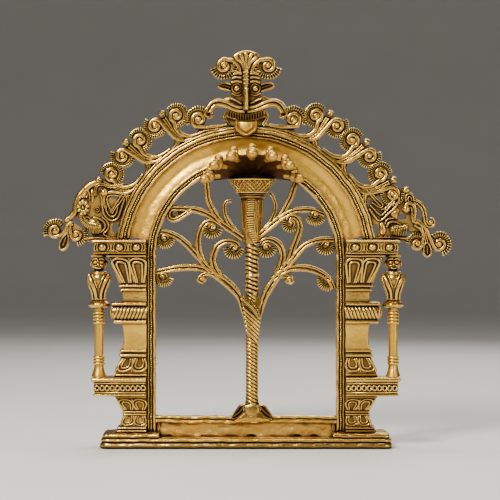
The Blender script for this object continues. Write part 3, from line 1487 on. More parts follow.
@dataclass
class Kirtimukha:
    """The lion face over the crown: plume, brow, eyes, nose, lip, teeth and tongue.

    Outlines are drawn from the crown, on the right half of the face. Lobes have their tips on both halves,
    and brows a height and two ends.
    """

    at: Layout
    palmette: Outline = ((2.6, 36), (4.6, 41), (8.6, 46), (8.2, 48.2), (5.2, 49.9))
    lobes: Outline = ((-6.9, 46.2), (-3.7, 48.4), (0, 49.2), (3.7, 48.4), (6.9, 46.2))
    roll_stem: Outline = ((3.6, 35.6), (5.4, 40.6), (8.6, 43.8))
    roll_ground: Outline = ((2.4, 35.4), (4.4, 41), (8.2, 45.4), (10.8, 43), (11.4, 38.4), (7, 35))
    mask: Outline = ((4.5, 12.5), (9.6, 20), (10.4, 26), (9.6, 32), (8, 35.8))
    brows: tuple[Point, ...] = ((29.6, 2.9, 9.4), (32.4, 2.9, 9), (35, 2.8, 8.4))
    ear: Outline = ((10, 28), (13.5, 28.9), (16.4, 28.6), (18.6, 27.2), (16.6, 25.6), (13.4, 24.6),
                    (10, 23.6))
    nose_rings: tuple[float, ...] = (28.6, 31, 33.4, 35.8)
    throat: Outline = ((12.4, 0.4), (13.6, 5), (12.4, 10), (7, 13.4))
    wing: Outline = ((1.6, 13.6), (6.4, 19.4), (10.2, 20.4), (16, 18.8), (21.6, 17.2), (26.2, 12.8),
                     (23.4, 11.6), (20.4, 13), (15, 13.2), (9.4, 11.4), (4, 10.4))
    lower_lip: Outline = ((1, 10), (5.6, 10.4), (10, 12), (14.6, 14), (18.8, 14.4), (22, 12.8),
                          (23.8, 9.6))
    upper_lip: Outline = ((1.2, 12.6), (5.4, 12.9), (9.6, 14.6), (14, 16.6), (18.6, 17.4), (23, 15.8),
                          (26.4, 11.6))
    teeth: int = 15
    gum_bow: float = 0.019

    def start(self) -> Relief:
        """A relief drawn from the crown of the arch."""
        return Relief((0, self.at.crown_z))

    def plume(self) -> Wax:
        """The palmette and the two volutes that roll away from it."""
        wax = self.start()
        wax.pad(wax.line(halves(self.palmette, (0, 50.8)), 1), 1.6, 0.3, centre=wax.place((0, 44)))
        for x, top in self.lobes:
            lobe = wax.line(((x * 0.14, 36.6), (x * 0.34, 41.6), (x, top)))
            wide = along(lobe, (0, 0.5, 0.85, 1), (0.45, 1, 1.65, 1.3))
            wax.thread(lobe, wide, 1, np.clip(wide, 0.8, 1.5), sides=10)
        for s in BOTH:
            start, fringe = (60, (195, 372, 15)) if s < 0 else (120, (345, 168, 15))
            wax.volute(Volute(self.roll_stem, (14.6, 40.4), 4.6, start, -s * 1.35, fringe, 3.2, 3.4), s)
            wax.web(wax.loop(self.roll_ground, 1, s), 1.9, 0.6)
            wax.thread(wax.line(((3.2, 35.2), (6.5, 36.8), (9.6, 36.4)), side=s), 0.9, 1.2, 1.4)
        return wax

    def face(self) -> Wax:
        """Brow bars, ringed eyes, ears, nose ridge and the bar that hangs over the lip."""
        wax = self.start()
        wax.pad(wax.line(halves(self.mask, (0, 36.6)), 1), 1.6, 0.8, centre=wax.place((0, 26)))
        vein, bag = ((10.4, 26), (13.6, 26.9), (16.4, 27.2)), ((2.8, 21.6), (6, 20.6), (9.4, 22.2))
        for s in BOTH:
            for z, inner, outer in self.brows:
                bar = ((inner, z), ((inner + outer) / 2, z + 0.5), (outer, z - 0.3))
                wax.thread(wax.line(bar, side=s), 1, 0.7, 1.3)
            eye = wax.place((6.1, 25.2), s)
            wax.thread(arc(eye, 3, 0, 360, 0.8), 0.62, 0.5, 1.1)
            wax.boss(eye, 0.5, (2.2, 2.3, 2.2))
            wax.pad(wax.line(self.ear, 0.9, s), 2.4, 0.2, 3, wax.place((13.4, 26.6), s), cut=1)
            for points, width, sink, depth in ((self.ear, 0.75, 1.6, 1.3), (vein, 0.5, 1.8, 0.8),
                                               (bag, 0.8, 1, 1.2)):
                wax.thread(wax.line(points, side=s), width, sink, depth)
        ridge, bar = wax.line(((0, 26), (0, 31), (0, 37.6))), wax.line(((0, 25.4), (0, 18), (0, 11)))
        wax.thread(ridge, taper(ridge, 1.7, 2), 0.2, 1.9)
        for z in self.nose_rings:
            wax.thread(wax.line(((-1.7, z), (0, z + 0.2), (1.7, z)), 0.6), 0.6, -1.3, 0.6)
        wax.thread(bar, taper(bar, 1.7, 1.9), -2.2, 2.2, sides=12)
        return wax

    def jaw(self) -> Wax:
        """The winged lip, the row of teeth and the throat behind them."""
        wax = self.start()
        throat = halves(self.throat, (0, 14)) + [(5, -0.4), (-5, -0.4)]
        wax.pad(wax.line(throat, 1.2), 2.8, 0.2, 3, wax.place((0, 6)))
        crease, corner = ((3, 15.2), (7, 17.4), (10.4, 18.6)), ((13, 9.6), (14, 5.4), (11.2, 0.8))
        for s in BOTH:
            wax.pad(wax.line(self.wing, 0.9, s), 1.9, 0.9, 4, wax.place((11.5, 16.2), s))
            for points, width, sink, depth in ((self.lower_lip, 1.4, 0.8, 1.5),
                                               (self.upper_lip, 1.3, 0.8, 1.5), (crease, 0.8, 0.4, 1.1)):
                wax.thread(wax.line(points, side=s), width, sink, depth)
            eye = wax.place((24.6, 8.4), s)
            curl = smooth(whorl(eye, 2.8, 1, 90 - s * 15, -s * 1.1), 0.6)
            wax.thread(curl, taper(curl, 1.3, 0.9), 1.2, 1.8)
            wax.pad(arc(eye, 2.9, 0, 340, 0.9), 2.4, 0.2, 3, cut=0.6)
            wax.ribbon(wax.line(corner, side=s), 2.4, 1, sink=1.2)
        for edge, thick in ((3.9, 0.6), (8.2, 0.55)):
            gum = wax.line([(x, edge + self.gum_bow * x * x) for x in np.linspace(-12.6, 12.6, 9)])
            wax.thread(gum, thick, 0.9, 1.1)
        for x in np.linspace(-11.9, 11.9, self.teeth):
            z = 6.0 + self.gum_bow * x * x
            tooth = wax.line(((x, z - 1.9), (x, z), (x, z + 1.9)), 0.7)
            wax.thread(tooth, taper(tooth, 0.5, 0.66), 0.9, 1.2)
        return wax

    def tongue(self) -> Wax:
        """The tongue that hangs before the mouldings as a small shield."""
        wax, least, most = self.start(), low("kirtimukha_tongue"), high("kirtimukha_tongue")
        half, foot, top = most.x, least.z - self.at.crown_z, 3.0
        front, back = least.y, -self.at.outer_front
        rim = halves(((half - 0.3, top), (half - 0.4, -1), (half * 0.72, foot + 3)), (0, foot + 0.3))
        wax.dome(wax.line(rim, 0.9), back, front + 2.2, 0.2, 3, wax.place((0, -0.5)))
        wax.strand(wax.line([(x * 0.9, z + 0.3) for x, z in rim]), 0.85, front + 1.3, 1.4)
        shield = ((half * 0.62, top), (half * 0.62, -1), (half * 0.4, foot + 4))
        wax.dome(wax.line(halves(shield, (0, foot + 2.2))), back, front + 1.6, 0.9, 5, wax.place((0, -0.2)))
        return wax

    def casts(self) -> list[Cast]:
        """The pieces of the face."""
        return [Cast("lion_plume", "kirtimukha_plume", self.plume()),
                Cast("lion_face", "kirtimukha_face", self.face()),
                Cast("lion_jaw", "kirtimukha_jaw", self.jaw()),
                Cast("lion_tongue", "kirtimukha_tongue", self.tongue(), POLISHED)]


@dataclass(frozen=True)
class Carving:
    """What is carved on one makara, in X past the end of the abacus and in height over its top.

    Holes and balls have a middle and two half sizes, ribs a width, a number of grooves and a line. The teeth
    stand between two points, and each runs along the tooth's step.
    """

    ground: Outline
    holes: tuple[tuple[float, float, float, float], ...]
    ribs: tuple[tuple[float, int, Outline], ...]
    balls: tuple[tuple[float, float, float, float], ...]
    eye: Pair
    eye_r: float
    beaded: Outline
    pads: tuple[Outline, ...]
    horn: Outline
    teeth: tuple[Pair, Pair]
    tooth: Pair
    jaw: Pair
    jaw_size: Pair
    outer: Volute
    inner: Volute
    petal: tuple[Pair, Pair]
    flower: Optional[Pair] = None


LEFT_CARVING = Carving(
    ground=((-22.4, 38), (-12, 36.6), (-4.4, 37.8), (2, 36.6), (7.4, 31.6), (10.6, 25), (11, 17),
            (9.4, 13.6), (6.4, 10.6), (3.6, 6.6), (0.2, 3.8), (5, 2.6), (6, -0.6), (-18, -0.8), (-22, 12),
            (-24, 26)),
    holes=((-14.9, 30.6, 3.4, 3), (-15.2, 8, 2.2, 3.6)),
    ribs=((4.8, 0, ((-4.4, 38.2), (0.6, 37), (4.8, 33.6), (9, 28.6), (10.9, 23.4), (11.8, 18.8),
                    (14.2, 15.6), (17, 13.4))),
          (1.6, 0, ((3.4, 33.8), (2, 30.6), (2, 27))),
          (1.4, 0, ((3.6, 28.6), (6.6, 28.8), (9.4, 28))),
          (2.6, 1, ((-20.6, 36.6), (-12, 35.4), (-7.4, 36.8), (-3.6, 36.4), (-2, 33.4), (-1.8, 29.4))),
          (1.9, 0, ((-5.3, 31.4), (-6.2, 24.4), (-7.6, 17.8), (-10.4, 14), (-13.6, 12.9), (-17, 15),
                    (-19.4, 21.4), (-21.4, 27.4))),
          (1.5, 0, ((-7.3, 28.2), (-8.7, 21.6), (-10.9, 16.8), (-13.4, 15.4), (-15.7, 17.4), (-17, 22))),
          (1.5, 0, ((-13, 19.4), (-15, 23), (-17.6, 27), (-21.4, 32.4))),
          (1.3, 0, ((-13.2, 17.4), (-15.4, 21), (-18.8, 25.4), (-22, 30.4))),
          (1.9, 0, ((-0.6, 15), (-3.8, 14.4), (-6.8, 12.8), (-8.4, 9.6), (-7.4, 6.4), (-4.6, 4.6))),
          (1.6, 0, ((-6.4, 15.4), (-9.4, 12.8), (-10.6, 9.4), (-9.6, 6.2), (-7.4, 3.8), (-11.6, 1.4))),
          (1.6, 0, ((5.6, 1), (-2, 1.2), (-9, 1), (-17.6, 1))),
          (1.4, 0, ((4.4, 15.4), (1.4, 14), (3, 10.2)))),
    balls=((-7.9, 31.6, 2.9, 2.7), (16.9, 13.5, 2.1, 2), (13.6, 16.8, 0.9, 0.9)),
    eye=(-3.2, 20.1), eye_r=1.6, beaded=((-9.6, 26.6), (-11, 22.4), (-12.6, 18.6)),
    pads=(((2.4, 28.2), (2.4, 31), (3.4, 33.2), (5.8, 31.4), (8.2, 28.8), (8.8, 27.4), (5.6, 27.2)),
          ((-1.4, 29.6), (-1.6, 33), (0.2, 34.6), (1.6, 32.4), (1.2, 28.6), (0.6, 24.6), (-0.6, 25))),
    horn=((7.6, 17.6), (6.2, 13.2), (2.8, 10.4), (-1.4, 9.4), (-5.4, 8.2)),
    teeth=((3.2, 10), (-5.4, 8.6)), tooth=(-0.5, -3.6), jaw=(-0.8, 10.6), jaw_size=(4.7, 4.4),
    outer=Volute(((14.4, 12), (17, 9.4), (18.9, 5.6), (21.4, 2.9)), (25, 6.2), 4.2, 222, 1.3,
                 (-25, 135, 13), 2.9, 2.7),
    inner=Volute(((13.8, 12), (14.9, 9), (14.7, 5.2)), (10.6, 3.4), 3.7, 15, -1.25, (150, 262, 9), 2.8, 2.6),
    petal=((16.8, 4.6), (20.6, -6.6)), flower=(6.2, 21.6))
RIGHT_CARVING = Carving(
    ground=((-22.4, 36), (-12, 31), (-5, 31.6), (2, 34.6), (6.6, 32.6), (9.6, 27), (11, 22), (10.8, 15),
            (10.4, 10.4), (7, 8.6), (3.4, 5.4), (1.6, 2.8), (5.4, 2.2), (6, -0.6), (-18, -0.8), (-22, 12),
            (-24, 24)),
    holes=((-13.6, 27.2, 2.6, 2.2), (1.8, 15.4, 2.7, 2.1), (-15.8, 6.4, 2.2, 4.4), (-20.2, 25, 1.3, 1.6)),
    ribs=((3.8, 1, ((10.2, 25.6), (13.2, 23.8), (15.9, 20.4), (17, 15.4), (17.6, 11.6), (19.6, 9.6),
                    (22, 10.4), (22.2, 13), (20.4, 13.4))),
          (3.2, 0, ((3.4, 19), (4.2, 23), (7.2, 24.4), (9.8, 22.2), (10.2, 17.4), (9.2, 11.4))),
          (1.4, 0, ((6.6, 19.8), (6.8, 21.6), (8, 20.4), (8.2, 15.4), (8.6, 12))),
          (1.8, 0, ((4, 25.6), (4.2, 29.2), (6.6, 30.9), (8.9, 29.2), (9.6, 25.8))),
          (1.2, 0, ((5.6, 25.6), (5.8, 28.2), (6.8, 28.9), (7.7, 28.2), (8, 25.8))),
          (1.9, 0, ((-20.4, 20.6), (-17.4, 16.6), (-15, 13.8), (-12.2, 13.2), (-8.4, 16.6), (-3, 21.6),
                    (-0.6, 26.2), (-0.8, 29.4))),
          (1.5, 0, ((-19.4, 23), (-15.2, 18.6), (-12.2, 16.4), (-9.4, 18.8), (-3.4, 25.2))),
          (1.4, 0, ((-21.8, 33.4), (-17, 27), (-12.7, 22.6))),
          (1.4, 0, ((-19.6, 32.2), (-15.4, 27.6), (-11.4, 24), (-12.6, 21.4), (-18.4, 24.8))),
          (1.4, 0, ((-12.4, 20), (-9, 21.4), (-4.4, 26.4))),
          (1.9, 0, ((-8.8, 8.6), (-6.8, 11.6), (-2.8, 12), (0.6, 10.4))),
          (1.5, 0, ((-9.8, 10.6), (-8.4, 13.6), (-3.6, 14.6))),
          (1.6, 0, ((5.6, 1), (-2, 1.4), (-9, 1.6), (-17.6, 1)))),
    balls=((-2.5, 29, 2.3, 2.2), (4.4, 20.6, 2.8, 2.9), (4.4, 33.2, 2.6, 2.2), (20.4, 11.8, 1.5, 1.5)),
    eye=(-2.8, 18.6), eye_r=1.4, beaded=((-10.4, 20.4), (-7.6, 21), (-3.6, 25.6)),
    pads=(((-13.4, 11.4), (-10.8, 12.4), (-9.6, 9.6), (-8.8, 6), (-9.6, 3.2), (-11.8, 2.6), (-13.4, 5.6)),
          ((-4.6, 14.2), (-1.6, 13.4), (-0.8, 16.6), (0.2, 19.6), (-1.4, 22), (-3.8, 20), (-6.4, 17.4))),
    horn=((5, 9), (2, 8), (-1.6, 7.2), (-5.6, 6.8)),
    teeth=((3.8, 8.8), (-6, 8.2)), tooth=(0.8, -4.2), jaw=(-1.2, 6.8), jaw_size=(5.2, 3.8),
    outer=Volute(((10.4, 12), (15, 10), (18.4, 5.8), (20.6, 0.2)), (26.6, -2.6), 4.2, 205, 1.3,
                 (-70, 128, 15), 2.9, 2.7),
    inner=Volute(((10, 9.8), (13.8, 7.4), (15.9, 3.2)), (11.6, -2.6), 3.7, 20, -1.25,
                 (62, 172, 10), 2.8, 2.6),
    petal=((18, -1.6), (18.9, -11)))


@dataclass
class Makara:
    """The makara over the end of an abacus and the foliage of its tail, drawn for the right-hand side."""

    at: Layout
    side: Side
    petals: int = 9
    teeth: int = 10

    @property
    def carving(self) -> Carving:
        """What is carved on this side."""
        return LEFT_CARVING if self.side is Side.LEFT else RIGHT_CARVING

    def start(self) -> Relief:
        """A relief drawn from the end of the abacus top."""
        return Relief((self.at.ledge_x, self.at.abacus_top))

    def head(self) -> Wax:
        """The pierced ground with trunk, leaf, lips, eye, jaw and teeth on it."""
        wax, carved = self.start(), self.carving
        holes = [oval(wax.place((x, z)), rx, rz, 22) for x, z, rx, rz in carved.holes]
        wax.web(wax.loop(carved.ground, 1), 1.7, 0.4, holes)
        for width, grooves, points in carved.ribs:
            line = wax.line(points, 0.75)
            wax.ribbon(line, taper(line, width, width * 0.85), grooves, cut=0.6)
        for x, z, rx, rz in carved.balls:
            wax.boss(wax.place((x, z)), 0.9, (rx, min(rx, rz) * 0.95, rz))
        eye, r = wax.place(carved.eye), carved.eye_r
        wax.thread(arc(eye, r, 0, 360, 0.7), 0.5, 1, 1)
        wax.boss(eye, 1.3, (r * 0.55, 1, r * 0.55), 10, 6)
        wax.beads_along(wax.line(carved.beaded), 0.75, wax.front + 1, 1.5)
        for pad in carved.pads:
            wax.dome(wax.loop(pad), 0, wax.front + 1.1, 0.9)
        if carved.flower:
            self.rosette(wax, wax.place(carved.flower))
        self.jaw(wax)
        return wax

    def rosette(self, wax: Relief, eye: Pair) -> None:
        """A flower of rounded petals on the cheek.

        Args:
            wax: Where it goes.
            eye: Its middle.
        """
        wax.dome(oval(eye, 4.9, 6, 30), 0, wax.front + 1.2, 0.2, 3, eye)
        width, depth = np.array([0.5, 1, 1.35, 1.35, 0.8]), np.array([0.9, 1.3, 1.4, 1.3, 0.8])
        for a in np.linspace(0, 360, self.petals, endpoint=False):
            way = np.array(turn((0, 0), 1, a + 8)) * (1, 1.22)
            wax.thread(eye + np.outer(np.linspace(1.2, 4.2, 5), way), width, 0.4, depth)
        wax.boss(eye, -0.2, (1, 1.2, 1.2), 12, 8)

    def jaw(self, wax: Relief) -> None:
        """The rounded jaw with its ribbed horn and its ridge of teeth.

        Args:
            wax: Where it goes.
        """
        carved, (rx, rz) = self.carving, self.carving.jaw_size
        wax.boss(wax.place(carved.jaw), 1.6, (rx, 2.6, rz), 20, 12)
        line = wax.line(carved.horn, 1.1)
        wide = along(line, (0, 0.35, 0.7, 1), (0.5, 0.6, 0.85, 0.6)) * rz
        wax.ribbed(line, wide, wax.front + 1.5, np.clip(wide, 1.6, 2.9))
        first, last = np.array(carved.teeth)
        lean, fall = carved.tooth
        for t in np.linspace(0, 1, self.teeth):
            sag = 1.6 * math.sin(math.pi * t)
            x, z = first + (last - first) * t
            tooth = ((x, z), (x + lean * 0.7, z + fall * 0.5 - sag * 0.3), (x + lean, z + fall - sag))
            wax.thread(wax.line(tooth, 0.6), 0.44, -0.2 + 3.0 * (t - 0.5) ** 2, 1.3, sides=6)

    def tail(self) -> Wax:
        """Stems that spread below the head: an outer volute, a hanging petal and an inner volute."""
        wax, outer, inner = self.start(), self.carving.outer, self.carving.inner
        wax.volute(outer)
        wax.volute(inner)
        top, tip = self.carving.petal
        wax.drop(top, tip, 2.5)
        stalk = wax.line((*outer.stem[:2], top))
        wax.ribbon(stalk, taper(stalk, 3.6, 2.4), 1, sink=0.4)
        (ox, oz), (ix, iz) = outer.eye, inner.eye
        web = (inner.stem[0], *outer.stem[:3], (ox - 4.4, oz - 1), top, (ix + 3.2, iz + 1), (8, 5),
               (5, 6))
        wax.web(wax.loop(web, 1), 2, 0.8)
        return wax

    def casts(self) -> list[Cast]:
        """The head and the tail on their own side."""
        end, pieces = self.side.suffix, {"makara": self.head(), "makara_tail": self.tail()}
        return [Cast(f"{name}_cast_{end}", f"{name}_{end}", self.side.hand(wax))
                for name, wax in pieces.items()]


@dataclass(frozen=True)
class Limb:
    """One branch, drawn in X and in height over the arch's centre.

    The leaf is the eye of its curl, the spread holds the first and last angle of the fringe there, and the
    ridges are its number. A ring is a pierced eye. A root is a bough that starts thin beside the trunk.
    """

    line: Outline
    width: Pair
    leaf: Optional[Pair] = None
    spread: Pair = (0, 0)
    ridges: int = 0
    ring: Optional[Pair] = None
    root: bool = False


LIMBS: dict[str, tuple[Limb, ...]] = {
    "bough_left": (
        Limb(((2, -53), (0.2, -44.6), (-1.7, -36), (-4.2, -27), (-9.6, -20), (-17.4, -13), (-21.4, -5.6),
              (-22, 0.4), (-19.2, 7), (-13.2, 10.4), (-7.4, 9.8), (-4.6, 7.2)),
             (5.4, 3.8), (-8, 6), (185, 350), 9, root=True),),
    "low_branch_left": (
        Limb(((-15, -15.6), (-24.6, -9.4), (-34, -7), (-45, -7.2), (-54.6, -9), (-59.4, -10.2)),
             (4.6, 3.8), (-55.2, -12.6), (180, 340), 10),
        Limb(((-21.6, -11.4), (-26.6, -11.2), (-30, -12.8), (-30.6, -15.4), (-28.4, -16.6)),
             (2.8, 2.4), (-29.6, -14.6), (200, 340), 5)),
    "mid_branch_left": (
        Limb(((-22.6, -9.6), (-28.4, -3.6), (-31.4, 5), (-31.4, 14), (-28.6, 21), (-24.4, 23.6),
              (-20, 22.4)), (4.6, 3.6), (-22.4, 19.6), (180, 345), 9),),
    "outer_branch_left": (
        Limb(((-26.6, -6), (-32, 0.4), (-39.4, 8.6), (-47.4, 14.2), (-54.4, 16.6), (-58, 16.4)),
             (4.2, 3.4), (-54.2, 12.8), (185, 345), 10),),
    "upper_branch_left": (
        Limb(((-2, 12.6), (-6.4, 15.6), (-18, 23.6), (-27.4, 29.4), (-38, 32), (-49.6, 32.4)), (4.6, 3.4)),
        Limb(((-36.6, 31), (-41.4, 28), (-45, 25.6), (-48.6, 24.8), (-51.4, 26.6), (-51.6, 30),
              (-49, 32.4)), (3, 2.8), ring=(-47, 28.8)),
        Limb(((-15.6, 22.6), (-22, 31), (-25.4, 40), (-26.6, 52.6)), (4, 3.4)),
        Limb(((-7.6, 17.6), (-12.4, 25), (-14.6, 32), (-13.2, 36.6), (-9.8, 37.6)), (3.2, 2.2))),
    "bough_right": (
        Limb(((6, -53), (7.8, -44.6), (9.7, -36), (12.2, -27), (15.8, -20), (20.4, -13), (23.4, -5),
              (24.4, 2.6), (21.8, 8.6), (16.2, 11.6), (11.8, 11), (9.8, 8.6)),
             (5.4, 3.8), (13.6, 6.8), (190, 355), 9, root=True),),
    "low_branch_right": (
        Limb(((18, -15.2), (25, -9.6), (33, -7.2), (43, -8), (51.4, -11.6), (57, -17.4),
              (58.6, -21)), (4.6, 3.8), (54.4, -15.4), (150, 300), 9),
        Limb(((21, -13), (25.4, -12.4), (29.6, -13.6), (31, -16), (28.8, -17.4)),
             (3, 2.4), (29, -15.2), (200, 320), 4)),
    "mid_branch_right": (
        Limb(((24.4, -8.8), (28.6, -2.6), (31.6, 6), (34.4, 13.6), (36, 20.4), (33.6, 26), (29.4, 26.8),
              (28, 24.4)), (4.6, 3.6), (30, 22.6), (165, 300), 7),),
    "outer_branch_right": (
        Limb(((28.4, -5.2), (33.4, 1.6), (39, 7.6), (46.4, 10.8), (53, 11.6), (58.6, 11.4)),
             (4.2, 3.4), (53.2, 8.6), (195, 350), 9),),
    "upper_branch_right": (
        Limb(((6.6, 12.6), (11.2, 16.4), (22.6, 25.6), (32.6, 30.8), (43.6, 31.2), (52, 28.6)),
             (4.6, 3.4), (46, 28.2), (210, 340), 9),
        Limb(((21, 24.4), (25.6, 31.4), (29.6, 39.6), (31.6, 45.6), (33.4, 49.6)), (4, 3.4)),
        Limb(((12.4, 18.4), (17.2, 25), (19.6, 33), (18.4, 39), (16, 42.6)), (3.2, 2)))}


@dataclass
class Tree:
    """The twisted trunk, its foot and the branches that fill the arch."""

    at: Layout
    front: float = -3.0
    back: float = 2.0
    strands: int = 5
    lead: float = 12.2
    folds: int = 6

    def start(self, x: float, z: float) -> Relief:
        """A relief drawn from a point."""
        return Relief((x, z), self.front, self.back)

    def foot(self) -> Wax:
        """The spreading foot with a leaf on each side and a crescent."""
        at, face = self.at, -self.at.rim_front
        x0, z0, h = at.trunk_x, at.rail_top, at.trunk_z - at.rail_top
        wax = self.start(x0, z0)
        body = halves(((4.9, h + 0.2), (5.6, 3.2), (8.6, 0.2), (12.2, -3.2), (9, -4.6)), (0, -5.2))
        wax.dome(wax.line(body, 0.9), 1, face - 0.4, 1, centre=wax.place((0, -0.6)))
        wax.lathe([(4.9, z0 - 1), (5, z0 + 2), (4.7, z0 + h - 0.4), (4.2, z0 + h + 0.6)], x0, -0.6, 24)
        leaf = ((4.8, h), (8.2, h - 0.4), (11.2, 2.6), (13, -1.6), (9.6, -1.2), (6.4, 1.2))
        veins = ((0.9, ((4.8, h - 0.4), (6, h - 1.6), (8.6, 2.2), (12.4, -0.4))),
                 (0.8, ((5.2, 2.8), (7.6, 0.2), (10.4, -1.6), (13, -2))),
                 (0.9, ((5.4, h + 0.1), (8.4, h - 0.8), (11.2, 2.4), (12.8, -0.2))))
        for s in BOTH:
            wax.dome(wax.line(leaf, side=s), 1, face + 1.6, 0.2, 3)
            for thick, points in veins:
                line = wax.line(points, 0.7, s)
                wax.strand(line, taper(line, thick, thick * 0.7), face + 0.3, 1.6)
        wax.strand(wax.line(((-2, -1.2), (0, -0.2), (2, -1.2)), 0.5), 0.45, face - 1.4, 0.6)
        return wax

    def trunk(self) -> Wax:
        """The rope-like trunk of strands round a core, with a strap and folds where the boughs leave it."""
        at, r = self.at, half_width("trunk")
        wax = self.start(at.trunk_x, at.arch_z)
        foot, top = at.trunk_z - 0.4, at.coil_z + 0.6
        wax.lathe([(r - 1.3, foot), (r - 1.3, top), (r - 1.7, at.neck_z)], at.trunk_x, 0, 20)
        zs = np.arange(foot - 0.6, top + 1, self.lead / 26)
        flare = r - 1.2 + 0.7 * np.clip((foot + 9 - zs) / 9, 0, 1) ** 2
        for k in range(self.strands):
            a = -2 * math.pi * (zs / self.lead + k / self.strands)
            strand = np.column_stack([at.trunk_x + flare * np.sin(a), -flare * np.cos(a), zs])
            wax.tube(strand, 1.15, sides=8)
        fork = halves(((3.6, -50), (5.2, -40), (6.4, -33), (7.4, -29), (4, -26.6)), (0, -25.8))
        wax.pad(wax.loop(fork, 1), 0.2, 0.9, cut=0.4)
        strap = wax.line(((-7, -27), (-3, -29.8), (1.6, -34.2), (5, -41)), 1)
        wide = along(strap, (0, 0.3, 0.7, 1), (1.5, 2.4, 2.4, 1.2))
        wax.ribbed(strap, wide, -4.3, np.full(len(strap), 1.2))
        for k in range(1, self.folds + 1):
            fold = wax.line(((0.42 * k - 6.4, -30.6 - 2.9 * k), (0.06 * k - 0.6, -35.4 - 2.8 * k),
                             (5.6 - 0.32 * k, -41.6 - 2.5 * k)), 1)
            wax.strand(fold, 1.05, -3.3 - 0.9 * np.sin(taper(fold, 0.2, 2.9)), 1)
        return wax

    def limb(self, wax: Relief, limb: Limb) -> None:
        """Adds one branch with its curled leaf and fringe.

        Args:
            wax: Where it goes.
            limb: Its drawing.
        """
        path = wax.line(limb.line)
        width = taper(path, *limb.width) * 1.13
        if limb.root:
            width = along(path, (0, 0.18, 0.42, 0.6, 1), (1.6, 2.6, 6, 5.4, limb.width[1]))
        wax.ribbon(path, width, 1)
        if limb.ring is not None:
            eye = wax.place(limb.ring)
            wax.web(path, 1.7, 0.6, [arc(eye, 0.9, 0, 330, 0.4)])
            wax.thread(arc(eye, 1.5, 0, 360, 0.5), 0.55, 1.2, 0.9)
        if limb.leaf is None:
            return
        eye, (first, last) = wax.place(limb.leaf), limb.spread
        wax.pad(oval(eye, 3.3, 3, 24), 1.5, 0.5, 4, eye, cut=0.4)
        bend, start = (-1, first - 6) if limb.line[-1][0] > limb.line[-3][0] else (1, last + 6)
        curl = smooth(whorl(eye, 2.6, 1.1, start, bend * 0.62), 0.5)
        wax.thread(curl, taper(curl, 0.8, 1.1), 0.7, 1.2)
        wax.boss(eye, 0.8, (1.4, 1.3, 1.3), 12, 8)
        if limb.ridges > 5:
            reach = 0.47 * min(limb.ridges, 9)
            wax.comb(eye, (3.1, 3.1 + reach), (first, last, int(limb.ridges * 1.4)), 2.3)

    def casts(self) -> list[Cast]:
        """The foot, the trunk and the branches."""
        made = [Cast("tree_foot", "trunk_foot", self.foot()), Cast("tree_trunk", "trunk", self.trunk())]
        for node, limbs in LIMBS.items():
            wax = self.start(0, self.at.arch_z)
            for limb in limbs:
                self.limb(wax, limb)
            made.append(Cast(f"{node}_cast", node, wax))
        return made


